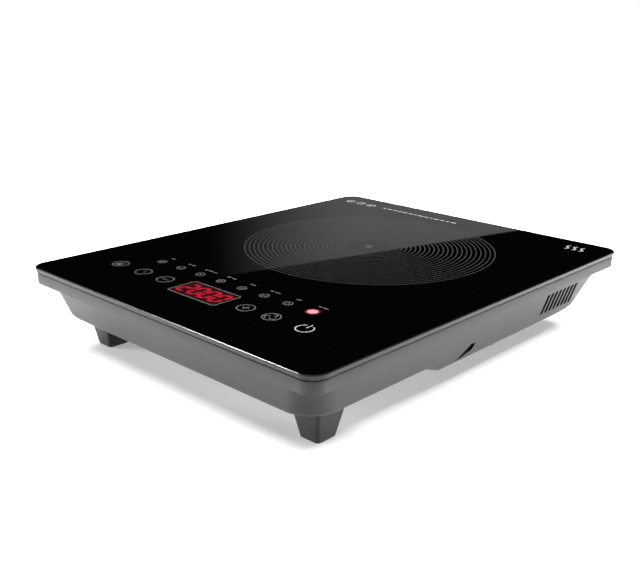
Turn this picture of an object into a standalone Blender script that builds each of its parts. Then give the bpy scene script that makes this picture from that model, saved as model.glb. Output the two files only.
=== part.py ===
"""Electric induction cooktop: a glass plate on a shallow tapered housing, with its coil and boards inside.

Metres, +Z up. The origin is at the bottom centre: +X is the right side, -Y the front with the controls.
"""

import math

import bmesh
import bpy
from mathutils import Matrix, Vector

# Overall form
GLASS_WIDTH = 0.280
GLASS_DEPTH = 0.350
GLASS_TOP = 0.062
GLASS_THICKNESS = 0.003
GLASS_CORNER_RADIUS = 0.0115
GLASS_EDGE_CHAMFER = 0.0006

# Fits
REST_GAP = 0.0003
RUNNING_GAP = 0.0001

# Upper frame: the skirt under the glass and the shelf that carries it
SKIRT_INSET = 0.0010
SKIRT_WALL = 0.0022
SKIRT_TOP_DROP = 0.0038
SKIRT_BOTTOM_DROP = 0.0120
SKIRT_CHAMFER = 0.0004
SHELF_INSET = 0.0160
SHELF_THICKNESS = 0.0020
SEAL_THICKNESS = 0.0012
SEAL_WIDTH = 0.0060

# Lower housing: a tapered tub, deeper at the back
RIM_THICKNESS = 0.0020
WALL_TOP_INSET = 0.0066
WALL_TAPER = math.radians(18.2)
WALL = 0.0022
FRONT_CORNER_RADIUS = 0.0205
BACK_CORNER_TOP_RADIUS = 0.0210
BACK_CORNER_BOTTOM_RADIUS = 0.0490
FLOOR_FILLET = 0.0070
FLOOR_DROP_FRONT = 0.0375
FLOOR_DROP_BACK = 0.0440
RAMP_START_FROM_FRONT = 0.1210
RAMP_LENGTH = 0.0170
CORNER_STEPS = 6
FILLET_STEPS = 4

# Feet
FOOT_WIDTH = 0.0148
FOOT_DEPTH = 0.0160
FOOT_FLARE = 0.20
FOOT_CORNER_RADIUS = 0.0024
FRONT_FOOT_FROM_SIDE = 0.0360
FRONT_FOOT_FROM_FRONT = 0.0430
BACK_FOOT_FROM_SIDE = 0.0620
BACK_FOOT_FROM_BACK = 0.0460
PAD_MARGIN = 0.0020
PAD_CORNER_RADIUS = 0.0016
PAD_STAND_OUT = 0.0008
PAD_SEAT = 0.0012

# Cooling slots, inlet grille and the slanting slot in the right wall
VENT_COUNT = 8
VENT_PITCH = 0.00587
VENT_WIDTH = 0.0038
VENT_TOP_DROP = 0.0178
VENT_BOTTOM_DROP = 0.0346
FIRST_VENT_FROM_BACK = 0.0916
GRILLE_SLOT_COUNT = 9
GRILLE_SLOT_WIDTH = 0.0030
GRILLE_MARGIN = 0.0030
SCOOP_START_FROM_FRONT = 0.1515
SCOOP_LENGTH = 0.0172
SCOOP_RISE = 0.0072
SCOOP_WIDTH = 0.0060
SCOOP_LOW_DROP = 0.0410

# Screws that hold the two housings together, from below
BACK_SCREW_INSET = 0.0400
SIDE_SCREW_INSET = 0.0240
SIDE_SCREW_FROM_BACK = 0.1500
FRONT_SCREW_INSET = 0.0260
FRONT_SCREW_FROM_SIDE = 0.0620
SCREW_HEAD_RADIUS = 0.0034
SCREW_HEAD_HEIGHT = 0.0024
SCREW_SHANK_RADIUS = 0.0014
SCREW_LENGTH = 0.0140
BOSS_RADIUS = 0.0062
POST_RADIUS = 0.0042
BOSS_TOP_DROP = 0.0180
BOSS_HEAD_WALL = 0.0080

# Cord outlet in the back wall
GLAND_FROM_SIDE = 0.0680
GLAND_DROP = 0.0280
GLAND_BORE_RADIUS = 0.0034
GLAND_BODY_RADIUS = 0.0055
GLAND_FLANGE_RADIUS = 0.0080
GLAND_FLANGE_THICKNESS = 0.0020
GLAND_BOSS_WALL = 0.0035
GLAND_BOSS_FROM_BACK = 0.0090
GLAND_LENGTH = 0.0180

# Coil and what carries it
ZONE_CENTRE_X = -0.0035
ZONE_FROM_BACK = 0.1353
COIL_INNER_RADIUS = 0.0240
COIL_TURNS = 14
COIL_PITCH = 0.0043
COIL_WIRE_WIDTH = 0.0035
COIL_WIRE_HEIGHT = 0.0036
COIL_STEPS_PER_TURN = 16
COIL_TOP_DROP = 0.0061
FORMER_THICKNESS = 0.0020
FORMER_HUB_WALL = 0.0030
FORMER_MARGIN = 0.0040
FORMER_SPOKES = 6
FORMER_SPOKE_ANGLE = math.radians(18)
FORMER_LEG_RADIUS = 0.0040
FORMER_LEG_ANGLES = (95, 155, 215, 330)
SENSOR_HOLDER_RADIUS = 0.0100
SENSOR_RADIUS = 0.0022
MICA_THICKNESS = 0.0006
FERRITE_LENGTH = 0.0500
FERRITE_WIDTH = 0.0100
FERRITE_HEIGHT = 0.0040

# Fan
FAN_SIZE = 0.0700
FAN_THICKNESS = 0.0150
FAN_FROM_SIDE = 0.0700
FAN_FROM_BACK = 0.0950
FAN_WALL = 0.0020
FAN_TIP_GAP = 0.0010
FAN_HUB_RADIUS = 0.0120
FAN_BLADES = 7
FAN_BLADE_THICKNESS = 0.0012
FAN_BLADE_PITCH = math.radians(38)
FAN_SHAFT_RADIUS = 0.0015
FAN_BEARING_WALL = 0.0014
FAN_STATOR_RADIUS = 0.0090

# Power board at the front
BOARD_THICKNESS = 0.0016
BOARD_STAND_OFF = 0.0040
BOARD_SIDE_MARGIN = 0.0320
BOARD_FROM_FRONT = 0.0350
BOARD_DEPTH = 0.0900
BOARD_POST_RADIUS = 0.0030
BOARD_POST_FROM_SIDE = 0.0250
BOARD_POST_FROM_END = 0.0050
HEAT_SINK_LENGTH = 0.0560
HEAT_SINK_DEPTH = 0.0260
HEAT_SINK_HEIGHT = 0.0150
HEAT_SINK_BASE = 0.0030
HEAT_SINK_FINS = 8
HEAT_SINK_FIN_WIDTH = 0.0014
HEAT_SINK_FROM_RIGHT = 0.0060
HEAT_SINK_FROM_BACK = 0.0040

# Parts on the power board. A block is width, depth, height.
# A tab part is name, from right, width, height.
IGBT = ("igbt", 0.0200, 0.0160, 0.0140)
RECTIFIER = ("bridge_rectifier", 0.0460, 0.0220, 0.0130)
TAB_PART_THICKNESS = 0.0050
TAB_HOLE_RADIUS = 0.0017
TALL_PARTS_X = -0.0040
RESONANT_CAPACITOR = (0.0320, 0.0180, 0.0145)
RESONANT_FROM_BACK = 0.0200
SMOOTHING_CAPACITOR = (0.0300, 0.0160, 0.0145)
SMOOTHING_FROM_BACK = 0.0420
FILTER_CAPACITOR = (0.0240, 0.0120, 0.0135)
FILTER_FROM_LEFT = 0.0320
FILTER_FROM_BACK = 0.0620
CAPACITOR_CHAMFER = 0.0010
ELECTROLYTIC_RADIUS = 0.0062
ELECTROLYTIC_HEIGHT = 0.0140
ELECTROLYTIC_X = 0.0280
ELECTROLYTIC_FROM_BACK = 0.0660
CHOKE_RING_RADIUS = 0.0092
CHOKE_WINDING_RADIUS = 0.0052
CHOKE_FROM_LEFT = 0.0340
CHOKE_FROM_BACK = 0.0360
TRANSFORMER_CORE = (0.0200, 0.0160, 0.0130)
TRANSFORMER_WINDING = (0.0120, 0.0200, 0.0090)
TRANSFORMER_FROM_BACK = 0.0680
PROTECTION_FROM_LEFT = 0.0640
FUSE_LENGTH = 0.0200
FUSE_CAP_RADIUS = 0.0026
FUSE_TUBE_RADIUS = 0.0023
FUSE_FROM_BACK = 0.0700
VARISTOR_RADIUS = 0.0055
VARISTOR_THICKNESS = 0.0040
VARISTOR_FROM_BACK = 0.0540
BUZZER_RADIUS = 0.0060
BUZZER_HEIGHT = 0.0070
BUZZER_FROM_RIGHT = 0.0200
BUZZER_FROM_BACK = 0.0660
TERMINAL_BLOCK = (0.0300, 0.0140, 0.0130)
TERMINAL_WELL_RADIUS = 0.0024
TERMINAL_FROM_GLAND = 0.0360
CABLE_WIDTH = 0.0120
CABLE_THICKNESS = 0.0008

# Touch board under the glass at the front
KEY_ROW_FROM_FRONT = 0.0490
KEY_X = (-0.0970, -0.0700, -0.0455, 0.0352, 0.0580, 0.0857)
LAMP_ROW_FROM_FRONT = 0.0735
LAMP_COUNT = 8
LAMP_FIRST_X = -0.0813
LAMP_PITCH = 0.02155
LAMP_RADIUS = 0.0016
DISPLAY_X = -0.0050
DISPLAY_WIDTH = 0.0440
DISPLAY_DEPTH = 0.0200
DISPLAY_HEIGHT = 0.0050
TOUCH_BOARD_WIDTH = 0.2160
TOUCH_BOARD_BEFORE_KEYS = 0.0140
TOUCH_BOARD_BEHIND_LAMPS = 0.0095
TOUCH_BOARD_DROP = 0.0100
SPRING_RADIUS = 0.0032
SPRING_WIRE = 0.0007
SPRING_TURNS = 3
SPRING_STEPS = 8

# Places that follow from the sizes above
HALF_WIDTH = GLASS_WIDTH / 2
HALF_DEPTH = GLASS_DEPTH / 2
GLASS_UNDERSIDE = GLASS_TOP - GLASS_THICKNESS
SKIRT_TOP = GLASS_TOP - SKIRT_TOP_DROP
SKIRT_BOTTOM = GLASS_TOP - SKIRT_BOTTOM_DROP
SHELF_TOP = GLASS_UNDERSIDE - SEAL_THICKNESS - 2 * REST_GAP
SHELF_BOTTOM = SHELF_TOP - SHELF_THICKNESS
RIM_INSET = SKIRT_INSET + SKIRT_WALL + REST_GAP
FLOOR_FRONT = GLASS_TOP - FLOOR_DROP_FRONT
FLOOR_BACK = GLASS_TOP - FLOOR_DROP_BACK
INSIDE_FRONT = FLOOR_FRONT + WALL
INSIDE_BACK = FLOOR_BACK + WALL
RAMP_START = RAMP_START_FROM_FRONT - HALF_DEPTH
RAMP_END = RAMP_START + RAMP_LENGTH
BOSS_TOP = GLASS_TOP - BOSS_TOP_DROP
ZONE_CENTRE = Vector((ZONE_CENTRE_X, HALF_DEPTH - ZONE_FROM_BACK, 0))
COIL_OUTER_RADIUS = COIL_INNER_RADIUS + COIL_TURNS * COIL_PITCH
COIL_TOP = GLASS_TOP - COIL_TOP_DROP
COIL_BOTTOM = COIL_TOP - COIL_WIRE_HEIGHT
FORMER_TOP = COIL_BOTTOM - REST_GAP
FORMER_BOTTOM = FORMER_TOP - FORMER_THICKNESS
FORMER_RADIUS = COIL_OUTER_RADIUS + FORMER_MARGIN
FORMER_HUB_INNER = SENSOR_HOLDER_RADIUS + REST_GAP
FORMER_HUB_OUTER = FORMER_HUB_INNER + FORMER_HUB_WALL
FAN_CENTRE = Vector((HALF_WIDTH - FAN_FROM_SIDE, HALF_DEPTH - FAN_FROM_BACK, INSIDE_BACK + REST_GAP))
FAN_DUCT_RADIUS = FAN_SIZE / 2 - FAN_WALL
FAN_TIP_RADIUS = FAN_DUCT_RADIUS - FAN_TIP_GAP
BOARD_BOTTOM = INSIDE_FRONT + BOARD_STAND_OFF
BOARD_TOP = BOARD_BOTTOM + BOARD_THICKNESS
BOARD_WIDTH = GLASS_WIDTH - 2 * BOARD_SIDE_MARGIN
BOARD_FRONT = BOARD_FROM_FRONT - HALF_DEPTH
BOARD_BACK = BOARD_FRONT + BOARD_DEPTH
BOARD_CENTRE_Y = (BOARD_FRONT + BOARD_BACK) / 2
PART_SEAT = BOARD_TOP + REST_GAP
KEY_ROW = KEY_ROW_FROM_FRONT - HALF_DEPTH
LAMP_ROW = LAMP_ROW_FROM_FRONT - HALF_DEPTH
TOUCH_BOARD_TOP = GLASS_TOP - TOUCH_BOARD_DROP
TOUCH_BOARD_FRONT = KEY_ROW - TOUCH_BOARD_BEFORE_KEYS
TOUCH_BOARD_BACK = LAMP_ROW + TOUCH_BOARD_BEHIND_LAMPS
TOUCH_SEAT = TOUCH_BOARD_TOP + REST_GAP
GLAND_BOSS_FACE = HALF_DEPTH - GLAND_BOSS_FROM_BACK
GLAND_CENTRE = Vector((GLAND_FROM_SIDE - HALF_WIDTH, GLAND_BOSS_FACE, GLASS_TOP - GLAND_DROP))


def clear_scene():
    for existing in list(bpy.data.objects):
        bpy.data.objects.remove(existing, do_unlink=True)


def finish(name, colour, roughness, metallic=0.0):
    """A Principled material, made once for each name."""
    found = bpy.data.materials.get(name)
    if found:
        return found
    made = bpy.data.materials.new(name)
    made.use_nodes = True
    shader = made.node_tree.nodes["Principled BSDF"]
    shader.inputs["Base Color"].default_value = (*colour, 1.0)
    shader.inputs["Roughness"].default_value = roughness
    shader.inputs["Metallic"].default_value = metallic
    return made


def black_glass():
    return finish("black_glass", (0.012, 0.012, 0.014), 0.05)


def grey_plastic():
    return finish("grey_plastic", (0.24, 0.24, 0.235), 0.38)


def dark_plastic():
    return finish("dark_plastic", (0.03, 0.03, 0.03), 0.5)


def white_plastic():
    return finish("white_plastic", (0.75, 0.74, 0.70), 0.45)


def rubber():
    return finish("rubber", (0.02, 0.02, 0.02), 0.85)


def copper():
    return finish("copper", (0.60, 0.28, 0.14), 0.35, 0.9)


def bronze():
    return finish("bronze", (0.55, 0.36, 0.18), 0.4, 0.9)


def steel():
    return finish("steel", (0.55, 0.55, 0.56), 0.3, 1.0)


def aluminium():
    return finish("aluminium", (0.70, 0.70, 0.72), 0.35, 1.0)


def circuit_board():
    return finish("circuit_board", (0.05, 0.22, 0.08), 0.5)


def ferrite():
    return finish("ferrite", (0.04, 0.04, 0.045), 0.6)


def mica():
    return finish("mica", (0.72, 0.68, 0.55), 0.4)


def epoxy():
    return finish("epoxy", (0.02, 0.02, 0.022), 0.35)


def capacitor_yellow():
    return finish("capacitor_yellow", (0.65, 0.45, 0.06), 0.35)


def new_object(name, mesh_data, material):
    """Closes a bmesh into a named object with its faces pointing out."""
    bmesh.ops.recalc_face_normals(mesh_data, faces=mesh_data.faces)
    mesh = bpy.data.meshes.new(name)
    mesh_data.to_mesh(mesh)
    mesh_data.free()
    mesh.materials.append(material)
    made = bpy.data.objects.new(name, mesh)
    bpy.context.scene.collection.objects.link(made)
    return made


def shade_round(made, sharp_degrees=35):
    made.data.shade_smooth()
    made.data.set_sharp_from_angle(angle=math.radians(sharp_degrees))
    return made


def helper(made):
    """A cutter or a shape that a Boolean adds to its neighbour."""
    made.hide_render = True
    made.display_type = "WIRE"
    return made


def combine(target, tool, operation):
    helper(tool)
    modifier = target.modifiers.new(tool.name, "BOOLEAN")
    modifier.operation = operation
    modifier.object = tool
    return target


def add_rings(mesh_data, rings, joined_ends=False):
    """Skins a row of point rings with quads, and caps the two ends unless the row closes on itself."""
    rows = [[mesh_data.verts.new(point) for point in ring] for ring in rings]
    pairs = list(zip(rows, rows[1:]))
    if joined_ends:
        pairs.append((rows[-1], rows[0]))
    for low, high in pairs:
        for index in range(len(low)):
            after = (index + 1) % len(low)
            mesh_data.faces.new((low[index], low[after], high[after], high[index]))
    if not joined_ends:
        mesh_data.faces.new(rows[0])
        mesh_data.faces.new(rows[-1])


def loft(name, rings, material, joined_ends=False):
    mesh_data = bmesh.new()
    add_rings(mesh_data, rings, joined_ends)
    return new_object(name, mesh_data, material)


def corner_arc(centre_x, centre_y, radius, start_degrees, steps=CORNER_STEPS):
    """Points of a quarter circle, anticlockwise from its start."""
    points = []
    for step in range(steps + 1):
        angle = math.radians(start_degrees + 90 * step / steps)
        points.append((centre_x + radius * math.cos(angle), centre_y + radius * math.sin(angle)))
    return points


def rounded_rectangle(width, depth, radius, z, centre=(0, 0), steps=CORNER_STEPS):
    """A level ring of points round a rectangle with rounded corners."""
    across = width / 2 - radius
    along = depth / 2 - radius
    points = corner_arc(across, -along, radius, -90, steps)
    points += corner_arc(across, along, radius, 0, steps)
    points += corner_arc(-across, along, radius, 90, steps)
    points += corner_arc(-across, -along, radius, 180, steps)
    return [Vector((centre[0] + x, centre[1] + y, z)) for x, y in points]


def plan_ring(inset, z, radius):
    """A ring that runs round the cooktop at the given distance inside the glass edge."""
    return rounded_rectangle(GLASS_WIDTH - 2 * inset, GLASS_DEPTH - 2 * inset, radius, z)


def skirt_radius(inset):
    return max(GLASS_CORNER_RADIUS - inset, 0.002)


def ring_band(name, section, material):
    """Sweeps a closed section of (inset, height) points round the cooktop."""
    rings = [plan_ring(inset, z, skirt_radius(inset)) for inset, z in section]
    return loft(name, rings, material, joined_ends=True)


def turned(name, profile, centre, material, steps=24, closed=False, axis="Z"):
    """Turns (radius, height) points about an axis through the centre. A closed profile makes a ring."""
    mesh_data = bmesh.new()
    rings = []
    for radius, height in profile:
        ring = []
        for step in range(steps):
            angle = 2 * math.pi * step / steps
            ring.append(Vector((radius * math.cos(angle), radius * math.sin(angle), height)))
        rings.append(ring)
    add_rings(mesh_data, rings, closed)
    turn = Matrix.Identity(4)
    if axis == "Y":
        turn = Matrix.Rotation(-math.pi / 2, 4, "X")
    if axis == "X":
        turn = Matrix.Rotation(math.pi / 2, 4, "Y")
    bmesh.ops.transform(mesh_data, matrix=Matrix.Translation(centre) @ turn, verts=mesh_data.verts)
    return shade_round(new_object(name, mesh_data, material))


def add_box(mesh_data, low, high):
    corners = [Vector((x, y, z)) for z in (low[2], high[2]) for x, y in (
        (low[0], low[1]), (high[0], low[1]), (high[0], high[1]), (low[0], high[1]))]
    add_rings(mesh_data, [corners[:4], corners[4:]])


def boxes(name, corner_pairs, material):
    mesh_data = bmesh.new()
    for low, high in corner_pairs:
        add_box(mesh_data, low, high)
    return new_object(name, mesh_data, material)


def block(name, size, base_centre, material, bevel=0.0):
    """A box that stands on the centre of its base."""
    half = Vector((size[0] / 2, size[1] / 2, 0))
    low = Vector(base_centre) - half
    made = boxes(name, [(low, low + Vector(size))], material)
    if bevel:
        modifier = made.modifiers.new("edges", "BEVEL")
        modifier.width = bevel
        modifier.segments = 1
    return made


def prisms(name, outlines, low_z, high_z, material):
    """Upright prisms on plan outlines, in one mesh."""
    mesh_data = bmesh.new()
    for outline in outlines:
        add_rings(mesh_data, [[Vector((x, y, z)) for x, y in outline] for z in (low_z, high_z)])
    return new_object(name, mesh_data, material)


def circle_outline(centre, radius, steps=16):
    return [
        (centre[0] + radius * math.cos(2 * math.pi * step / steps),
         centre[1] + radius * math.sin(2 * math.pi * step / steps))
        for step in range(steps)
    ]


def catmull_rom(points, steps):
    """A smooth curve through the points."""
    path = [Vector(point) for point in points]
    padded = [2 * path[0] - path[1]] + path + [2 * path[-1] - path[-2]]
    curve = []
    for index in range(1, len(padded) - 2):
        before, start, end, after = padded[index - 1:index + 3]
        for step in range(steps):
            t = step / steps
            curve.append(0.5 * (
                2 * start + (end - before) * t
                + (2 * before - 5 * start + 4 * end - after) * t ** 2
                + (3 * start - before - 3 * end + after) * t ** 3))
    curve.append(path[-1])
    return curve


def lead(name, points, radius, material, steps=3):
    """A round wire along a smooth curve through the points."""
    path = catmull_rom(points, steps)
    curve = bpy.data.curves.new(name, "CURVE")
    curve.dimensions = "3D"
    curve.bevel_depth = radius
    curve.bevel_resolution = 1
    curve.use_fill_caps = True
    spline = curve.splines.new("POLY")
    spline.points.add(len(path) - 1)
    for target, point in zip(spline.points, path):
        target.co = (*point, 1.0)
    curve.materials.append(material)
    made = bpy.data.objects.new(name, curve)
    bpy.context.scene.collection.objects.link(made)
    return made


def ribbon(name, path, width, thickness, material):
    """A rectangular strip whose flat side faces up, swept along a path."""
    rings = []
    for index, point in enumerate(path):
        ahead = path[min(index + 1, len(path) - 1)] - path[max(index - 1, 0)]
        side = Vector((ahead.y, -ahead.x, 0)).normalized() * (width / 2)
        rise = Vector((0, 0, thickness / 2))
        rings.append([point - side - rise, point + side - rise, point + side + rise, point - side + rise])
    return loft(name, rings, material)


def glass_plate():
    radius = GLASS_CORNER_RADIUS
    chamfer = GLASS_EDGE_CHAMFER
    rings = [
        plan_ring(chamfer, GLASS_UNDERSIDE, radius - chamfer),
        plan_ring(0, GLASS_UNDERSIDE + chamfer, radius),
        plan_ring(0, GLASS_TOP - chamfer, radius),
        plan_ring(chamfer, GLASS_TOP, radius - chamfer),
    ]
    return shade_round(loft("glass_top", rings, black_glass()))


def glass_seal():
    outer = RIM_INSET
    inner = outer + SEAL_WIDTH
    low = SHELF_TOP + REST_GAP
    high = low + SEAL_THICKNESS
    return ring_band("glass_seal", [(outer, low), (outer, high), (inner, high), (inner, low)], rubber())


def screw_places():
    """Plan positions of the housing screws: a front pair, a side pair and a back pair."""
    pairs = [
        (HALF_WIDTH - FRONT_SCREW_FROM_SIDE, FRONT_SCREW_INSET - HALF_DEPTH),
        (HALF_WIDTH - SIDE_SCREW_INSET, HALF_DEPTH - SIDE_SCREW_FROM_BACK),
        (HALF_WIDTH - BACK_SCREW_INSET, HALF_DEPTH - BACK_SCREW_INSET),
    ]
    return [(side * x, y) for x, y in pairs for side in (-1, 1)]


def ear_outline(x, y):
    """A tab that reaches from the shelf to a screw post: from the front shelf for the front pair."""
    reach = POST_RADIUS * 1.5
    middle_inset = (SHELF_INSET + RIM_INSET) / 2
    if HALF_DEPTH + y < HALF_WIDTH - abs(x):
        low_x, high_x = x - reach, x + reach
        low_y, high_y = middle_inset - HALF_DEPTH, y + reach
    else:
        low_x, high_x = sorted((math.copysign(HALF_WIDTH - middle_inset, x), x - math.copysign(reach, x)))
        low_y, high_y = y - reach, y + reach
    return [(low_x, low_y), (high_x, low_y), (high_x, high_y), (low_x, high_y)]


def upper_frame():
    inner_face = SKIRT_INSET + SKIRT_WALL
    section = [
        (SKIRT_INSET, SKIRT_BOTTOM + SKIRT_CHAMFER),
        (SKIRT_INSET, SKIRT_TOP - SKIRT_CHAMFER),
        (SKIRT_INSET + SKIRT_CHAMFER, SKIRT_TOP),
        (inner_face, SKIRT_TOP),
        (inner_face, SHELF_TOP),
        (SHELF_INSET, SHELF_TOP),
        (SHELF_INSET, SHELF_BOTTOM),
        (inner_face, SHELF_BOTTOM),
        (inner_face, SKIRT_BOTTOM),
        (SKIRT_INSET + SKIRT_CHAMFER, SKIRT_BOTTOM),
    ]
    frame = ring_band("upper_frame", section, grey_plastic())
    ears = [ear_outline(x, y) for x, y in screw_places()]
    lift = SHELF_THICKNESS / 4
    tabs = prisms("frame_ears", ears, SHELF_BOTTOM + lift, SHELF_TOP - lift, grey_plastic())
    combine(frame, tabs, "UNION")
    posts = [circle_outline(place, POST_RADIUS, 12) for place in screw_places()]
    columns = prisms("frame_posts", posts, BOSS_TOP + REST_GAP, SHELF_TOP - 2 * lift, grey_plastic())
    combine(frame, columns, "UNION")
    pilots = [circle_outline(place, SCREW_SHANK_RADIUS + REST_GAP, 8) for place in screw_places()]
    pilot_top = BOSS_TOP + SCREW_LENGTH * 0.6
    holes = prisms("frame_pilots", pilots, BOSS_TOP - WALL, pilot_top, grey_plastic())
    return combine(frame, holes, "DIFFERENCE")


def tub_ring(front, back):
    """One ring round the tub, from (inset, z, corner radius) at the front corners and at the back ones."""
    ring = []
    corners = ((1, -1, -90, front), (1, 1, 0, back), (-1, 1, 90, back), (-1, -1, 180, front))
    for side, end, start, (inset, z, radius) in corners:
        across = side * (HALF_WIDTH - inset - radius)
        along = end * (HALF_DEPTH - inset - radius)
        arc = [Vector((x, y, z)) for x, y in corner_arc(across, along, radius, start)]
        ramp = [
            Vector((side * (HALF_WIDTH - front[0]), RAMP_START, front[1])),
            Vector((side * (HALF_WIDTH - back[0]), RAMP_END, back[1])),
        ]
        if (side, end) == (1, 1):
            ring += ramp + arc
        elif (side, end) == (-1, -1):
            ring += ramp[::-1] + arc
        else:
            ring += arc
    return ring


def wall_point(angle, floor_z, thickness):
    """(inset, z) on the fillet between the wall and a floor, inside by the given thickness."""
    radius = FLOOR_FILLET - thickness
    top_inset = WALL_TOP_INSET + thickness / math.cos(WALL_TAPER)
    centre_z = floor_z + FLOOR_FILLET
    tangent_drop = SKIRT_BOTTOM - centre_z + radius * math.sin(WALL_TAPER)
    centre_inset = top_inset + tangent_drop * math.tan(WALL_TAPER) + radius * math.cos(WALL_TAPER)
    return centre_inset - radius * math.cos(angle), centre_z - radius * math.sin(angle)


def tub_solid(name, thickness, start_rings):
    """The tub's outer form, or its hollow when a wall thickness is given."""
    rings = list(start_rings)
    spread = BACK_CORNER_BOTTOM_RADIUS - BACK_CORNER_TOP_RADIUS
    for step in range(FILLET_STEPS + 1):
        angle = WALL_TAPER + (math.pi / 2 - WALL_TAPER) * step / FILLET_STEPS
        back_radius = BACK_CORNER_TOP_RADIUS + spread * (step + 2) / (FILLET_STEPS + 2)
        front = (*wall_point(angle, FLOOR_FRONT, thickness), FRONT_CORNER_RADIUS - thickness)
        back = (*wall_point(angle, FLOOR_BACK, thickness), back_radius - thickness)
        rings.append(tub_ring(front, back))
    mesh_data = bmesh.new()
    rows = [[mesh_data.verts.new(point) for point in ring] for ring in rings]
    for high, low in zip(rows, rows[1:]):
        for index in range(len(high)):
            after = (index + 1) % len(high)
            mesh_data.faces.new((high[index], high[after], low[after], low[index]))
    mesh_data.faces.new(rows[0])
    corner = CORNER_STEPS + 1
    right_start, right_end = corner, corner + 1
    left_end, left_start = 3 * corner + 2, 3 * corner + 3
    floor = rows[-1]
    mesh_data.faces.new(floor[:right_start + 1] + floor[left_start:])
    mesh_data.faces.new((floor[right_start], floor[right_end], floor[left_end], floor[left_start]))
    mesh_data.faces.new(floor[right_end:left_end + 1])
    return shade_round(new_object(name, mesh_data, grey_plastic()))


def foot_places():
    """Plan position and housing floor of each foot: front pair, then back pair."""
    front_x = HALF_WIDTH - FRONT_FOOT_FROM_SIDE
    back_x = HALF_WIDTH - BACK_FOOT_FROM_SIDE
    front_y = FRONT_FOOT_FROM_FRONT - HALF_DEPTH
    back_y = HALF_DEPTH - BACK_FOOT_FROM_BACK
    return [
        (-front_x, front_y, FLOOR_FRONT),
        (front_x, front_y, FLOOR_FRONT),
        (-back_x, back_y, FLOOR_BACK),
        (back_x, back_y, FLOOR_BACK),
    ]


def foot_rings(x, y, low, high, thickness):
    """Rings of a foot that widens upward, inside by the given thickness."""
    rings = []
    for z in (low, high):
        grow = 2 * FOOT_FLARE * z - 2 * thickness
        radius = FOOT_CORNER_RADIUS - thickness / 2
        rings.append(rounded_rectangle(FOOT_WIDTH + grow, FOOT_DEPTH + grow, radius, z, (x, y), 3))
    return rings


def feet_solids(name, thickness, low, above_floor):
    mesh_data = bmesh.new()
    for x, y, floor in foot_places():
        add_rings(mesh_data, foot_rings(x, y, low, floor + above_floor, thickness))
    return new_object(name, mesh_data, grey_plastic())


def pad_outline(x, y, margin):
    width = FOOT_WIDTH - 2 * margin
    depth = FOOT_DEPTH - 2 * margin
    ring = rounded_rectangle(width, depth, PAD_CORNER_RADIUS, 0, (x, y), 3)
    return [(point.x, point.y) for point in ring]


def wall_vents():
    """Slots in the wall near the back, the same on both sides."""
    pairs = []
    low_z = GLASS_TOP - VENT_BOTTOM_DROP
    high_z = GLASS_TOP - VENT_TOP_DROP
    wall_x = HALF_WIDTH - WALL_TOP_INSET
    reach = (VENT_BOTTOM_DROP - SKIRT_BOTTOM_DROP) * math.tan(WALL_TAPER) + 3 * WALL
    for index in range(VENT_COUNT):
        middle = HALF_DEPTH - FIRST_VENT_FROM_BACK + index * VENT_PITCH
        for side in (-1, 1):
            low_x, high_x = sorted((side * (wall_x - reach), side * (wall_x + WALL)))
            low = (low_x, middle - VENT_WIDTH / 2, low_z)
            pairs.append((low, (high_x, middle + VENT_WIDTH / 2, high_z)))
    return boxes("wall_vents", pairs, grey_plastic())


def inlet_grille():
    """Slots through the floor under the fan, cut to a circle."""
    pairs = []
    radius = FAN_DUCT_RADIUS - GRILLE_MARGIN
    pitch = 2 * radius / GRILLE_SLOT_COUNT
    for index in range(GRILLE_SLOT_COUNT):
        offset = (index - (GRILLE_SLOT_COUNT - 1) / 2) * pitch
        half = math.sqrt(radius ** 2 - (abs(offset) + GRILLE_SLOT_WIDTH / 2) ** 2)
        for low_x, high_x in ((-half, -FAN_WALL), (FAN_WALL, half)):
            low = (FAN_CENTRE.x + low_x, FAN_CENTRE.y + offset - GRILLE_SLOT_WIDTH / 2, FLOOR_BACK - WALL)
            high = (FAN_CENTRE.x + high_x, low[1] + GRILLE_SLOT_WIDTH, INSIDE_BACK + WALL)
            pairs.append((low, high))
    return boxes("inlet_grille", pairs, grey_plastic())


def scoop_slot():
    """A thin slot that climbs the right wall's lower edge towards the back, widening as it goes."""
    start_y = SCOOP_START_FROM_FRONT - HALF_DEPTH
    low_z = GLASS_TOP - SCOOP_LOW_DROP
    section = [
        (start_y, low_z),
        (start_y + SCOOP_LENGTH, low_z + SCOOP_RISE - SCOOP_WIDTH / 2),
        (start_y + SCOOP_LENGTH + SCOOP_WIDTH / 3, low_z + SCOOP_RISE + SCOOP_WIDTH / 3),
        (start_y + SCOOP_LENGTH - SCOOP_WIDTH / 2, low_z + SCOOP_RISE + SCOOP_WIDTH / 2),
    ]
    outer_x = HALF_WIDTH - WALL_TOP_INSET
    inner_x = outer_x - (SCOOP_LOW_DROP - SKIRT_BOTTOM_DROP) * math.tan(WALL_TAPER) - 2.5 * WALL
    rings = [[Vector((x, y, z)) for y, z in section] for x in (inner_x, outer_x)]
    return loft("scoop_slot", rings, grey_plastic())


def housing_floor_at(y):
    """Outside height of the floor at a plan depth."""
    share = min(max((y - RAMP_START) / RAMP_LENGTH, 0), 1)
    return FLOOR_FRONT + (FLOOR_BACK - FLOOR_FRONT) * share


def board_posts():
    """Plan positions of the posts under the power board's corners."""
    across = BOARD_WIDTH / 2 - BOARD_POST_FROM_SIDE
    ends = (BOARD_FRONT + BOARD_POST_FROM_END, BOARD_BACK - BOARD_POST_FROM_END)
    return [(x, y) for x in (-across, across) for y in ends]


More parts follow.
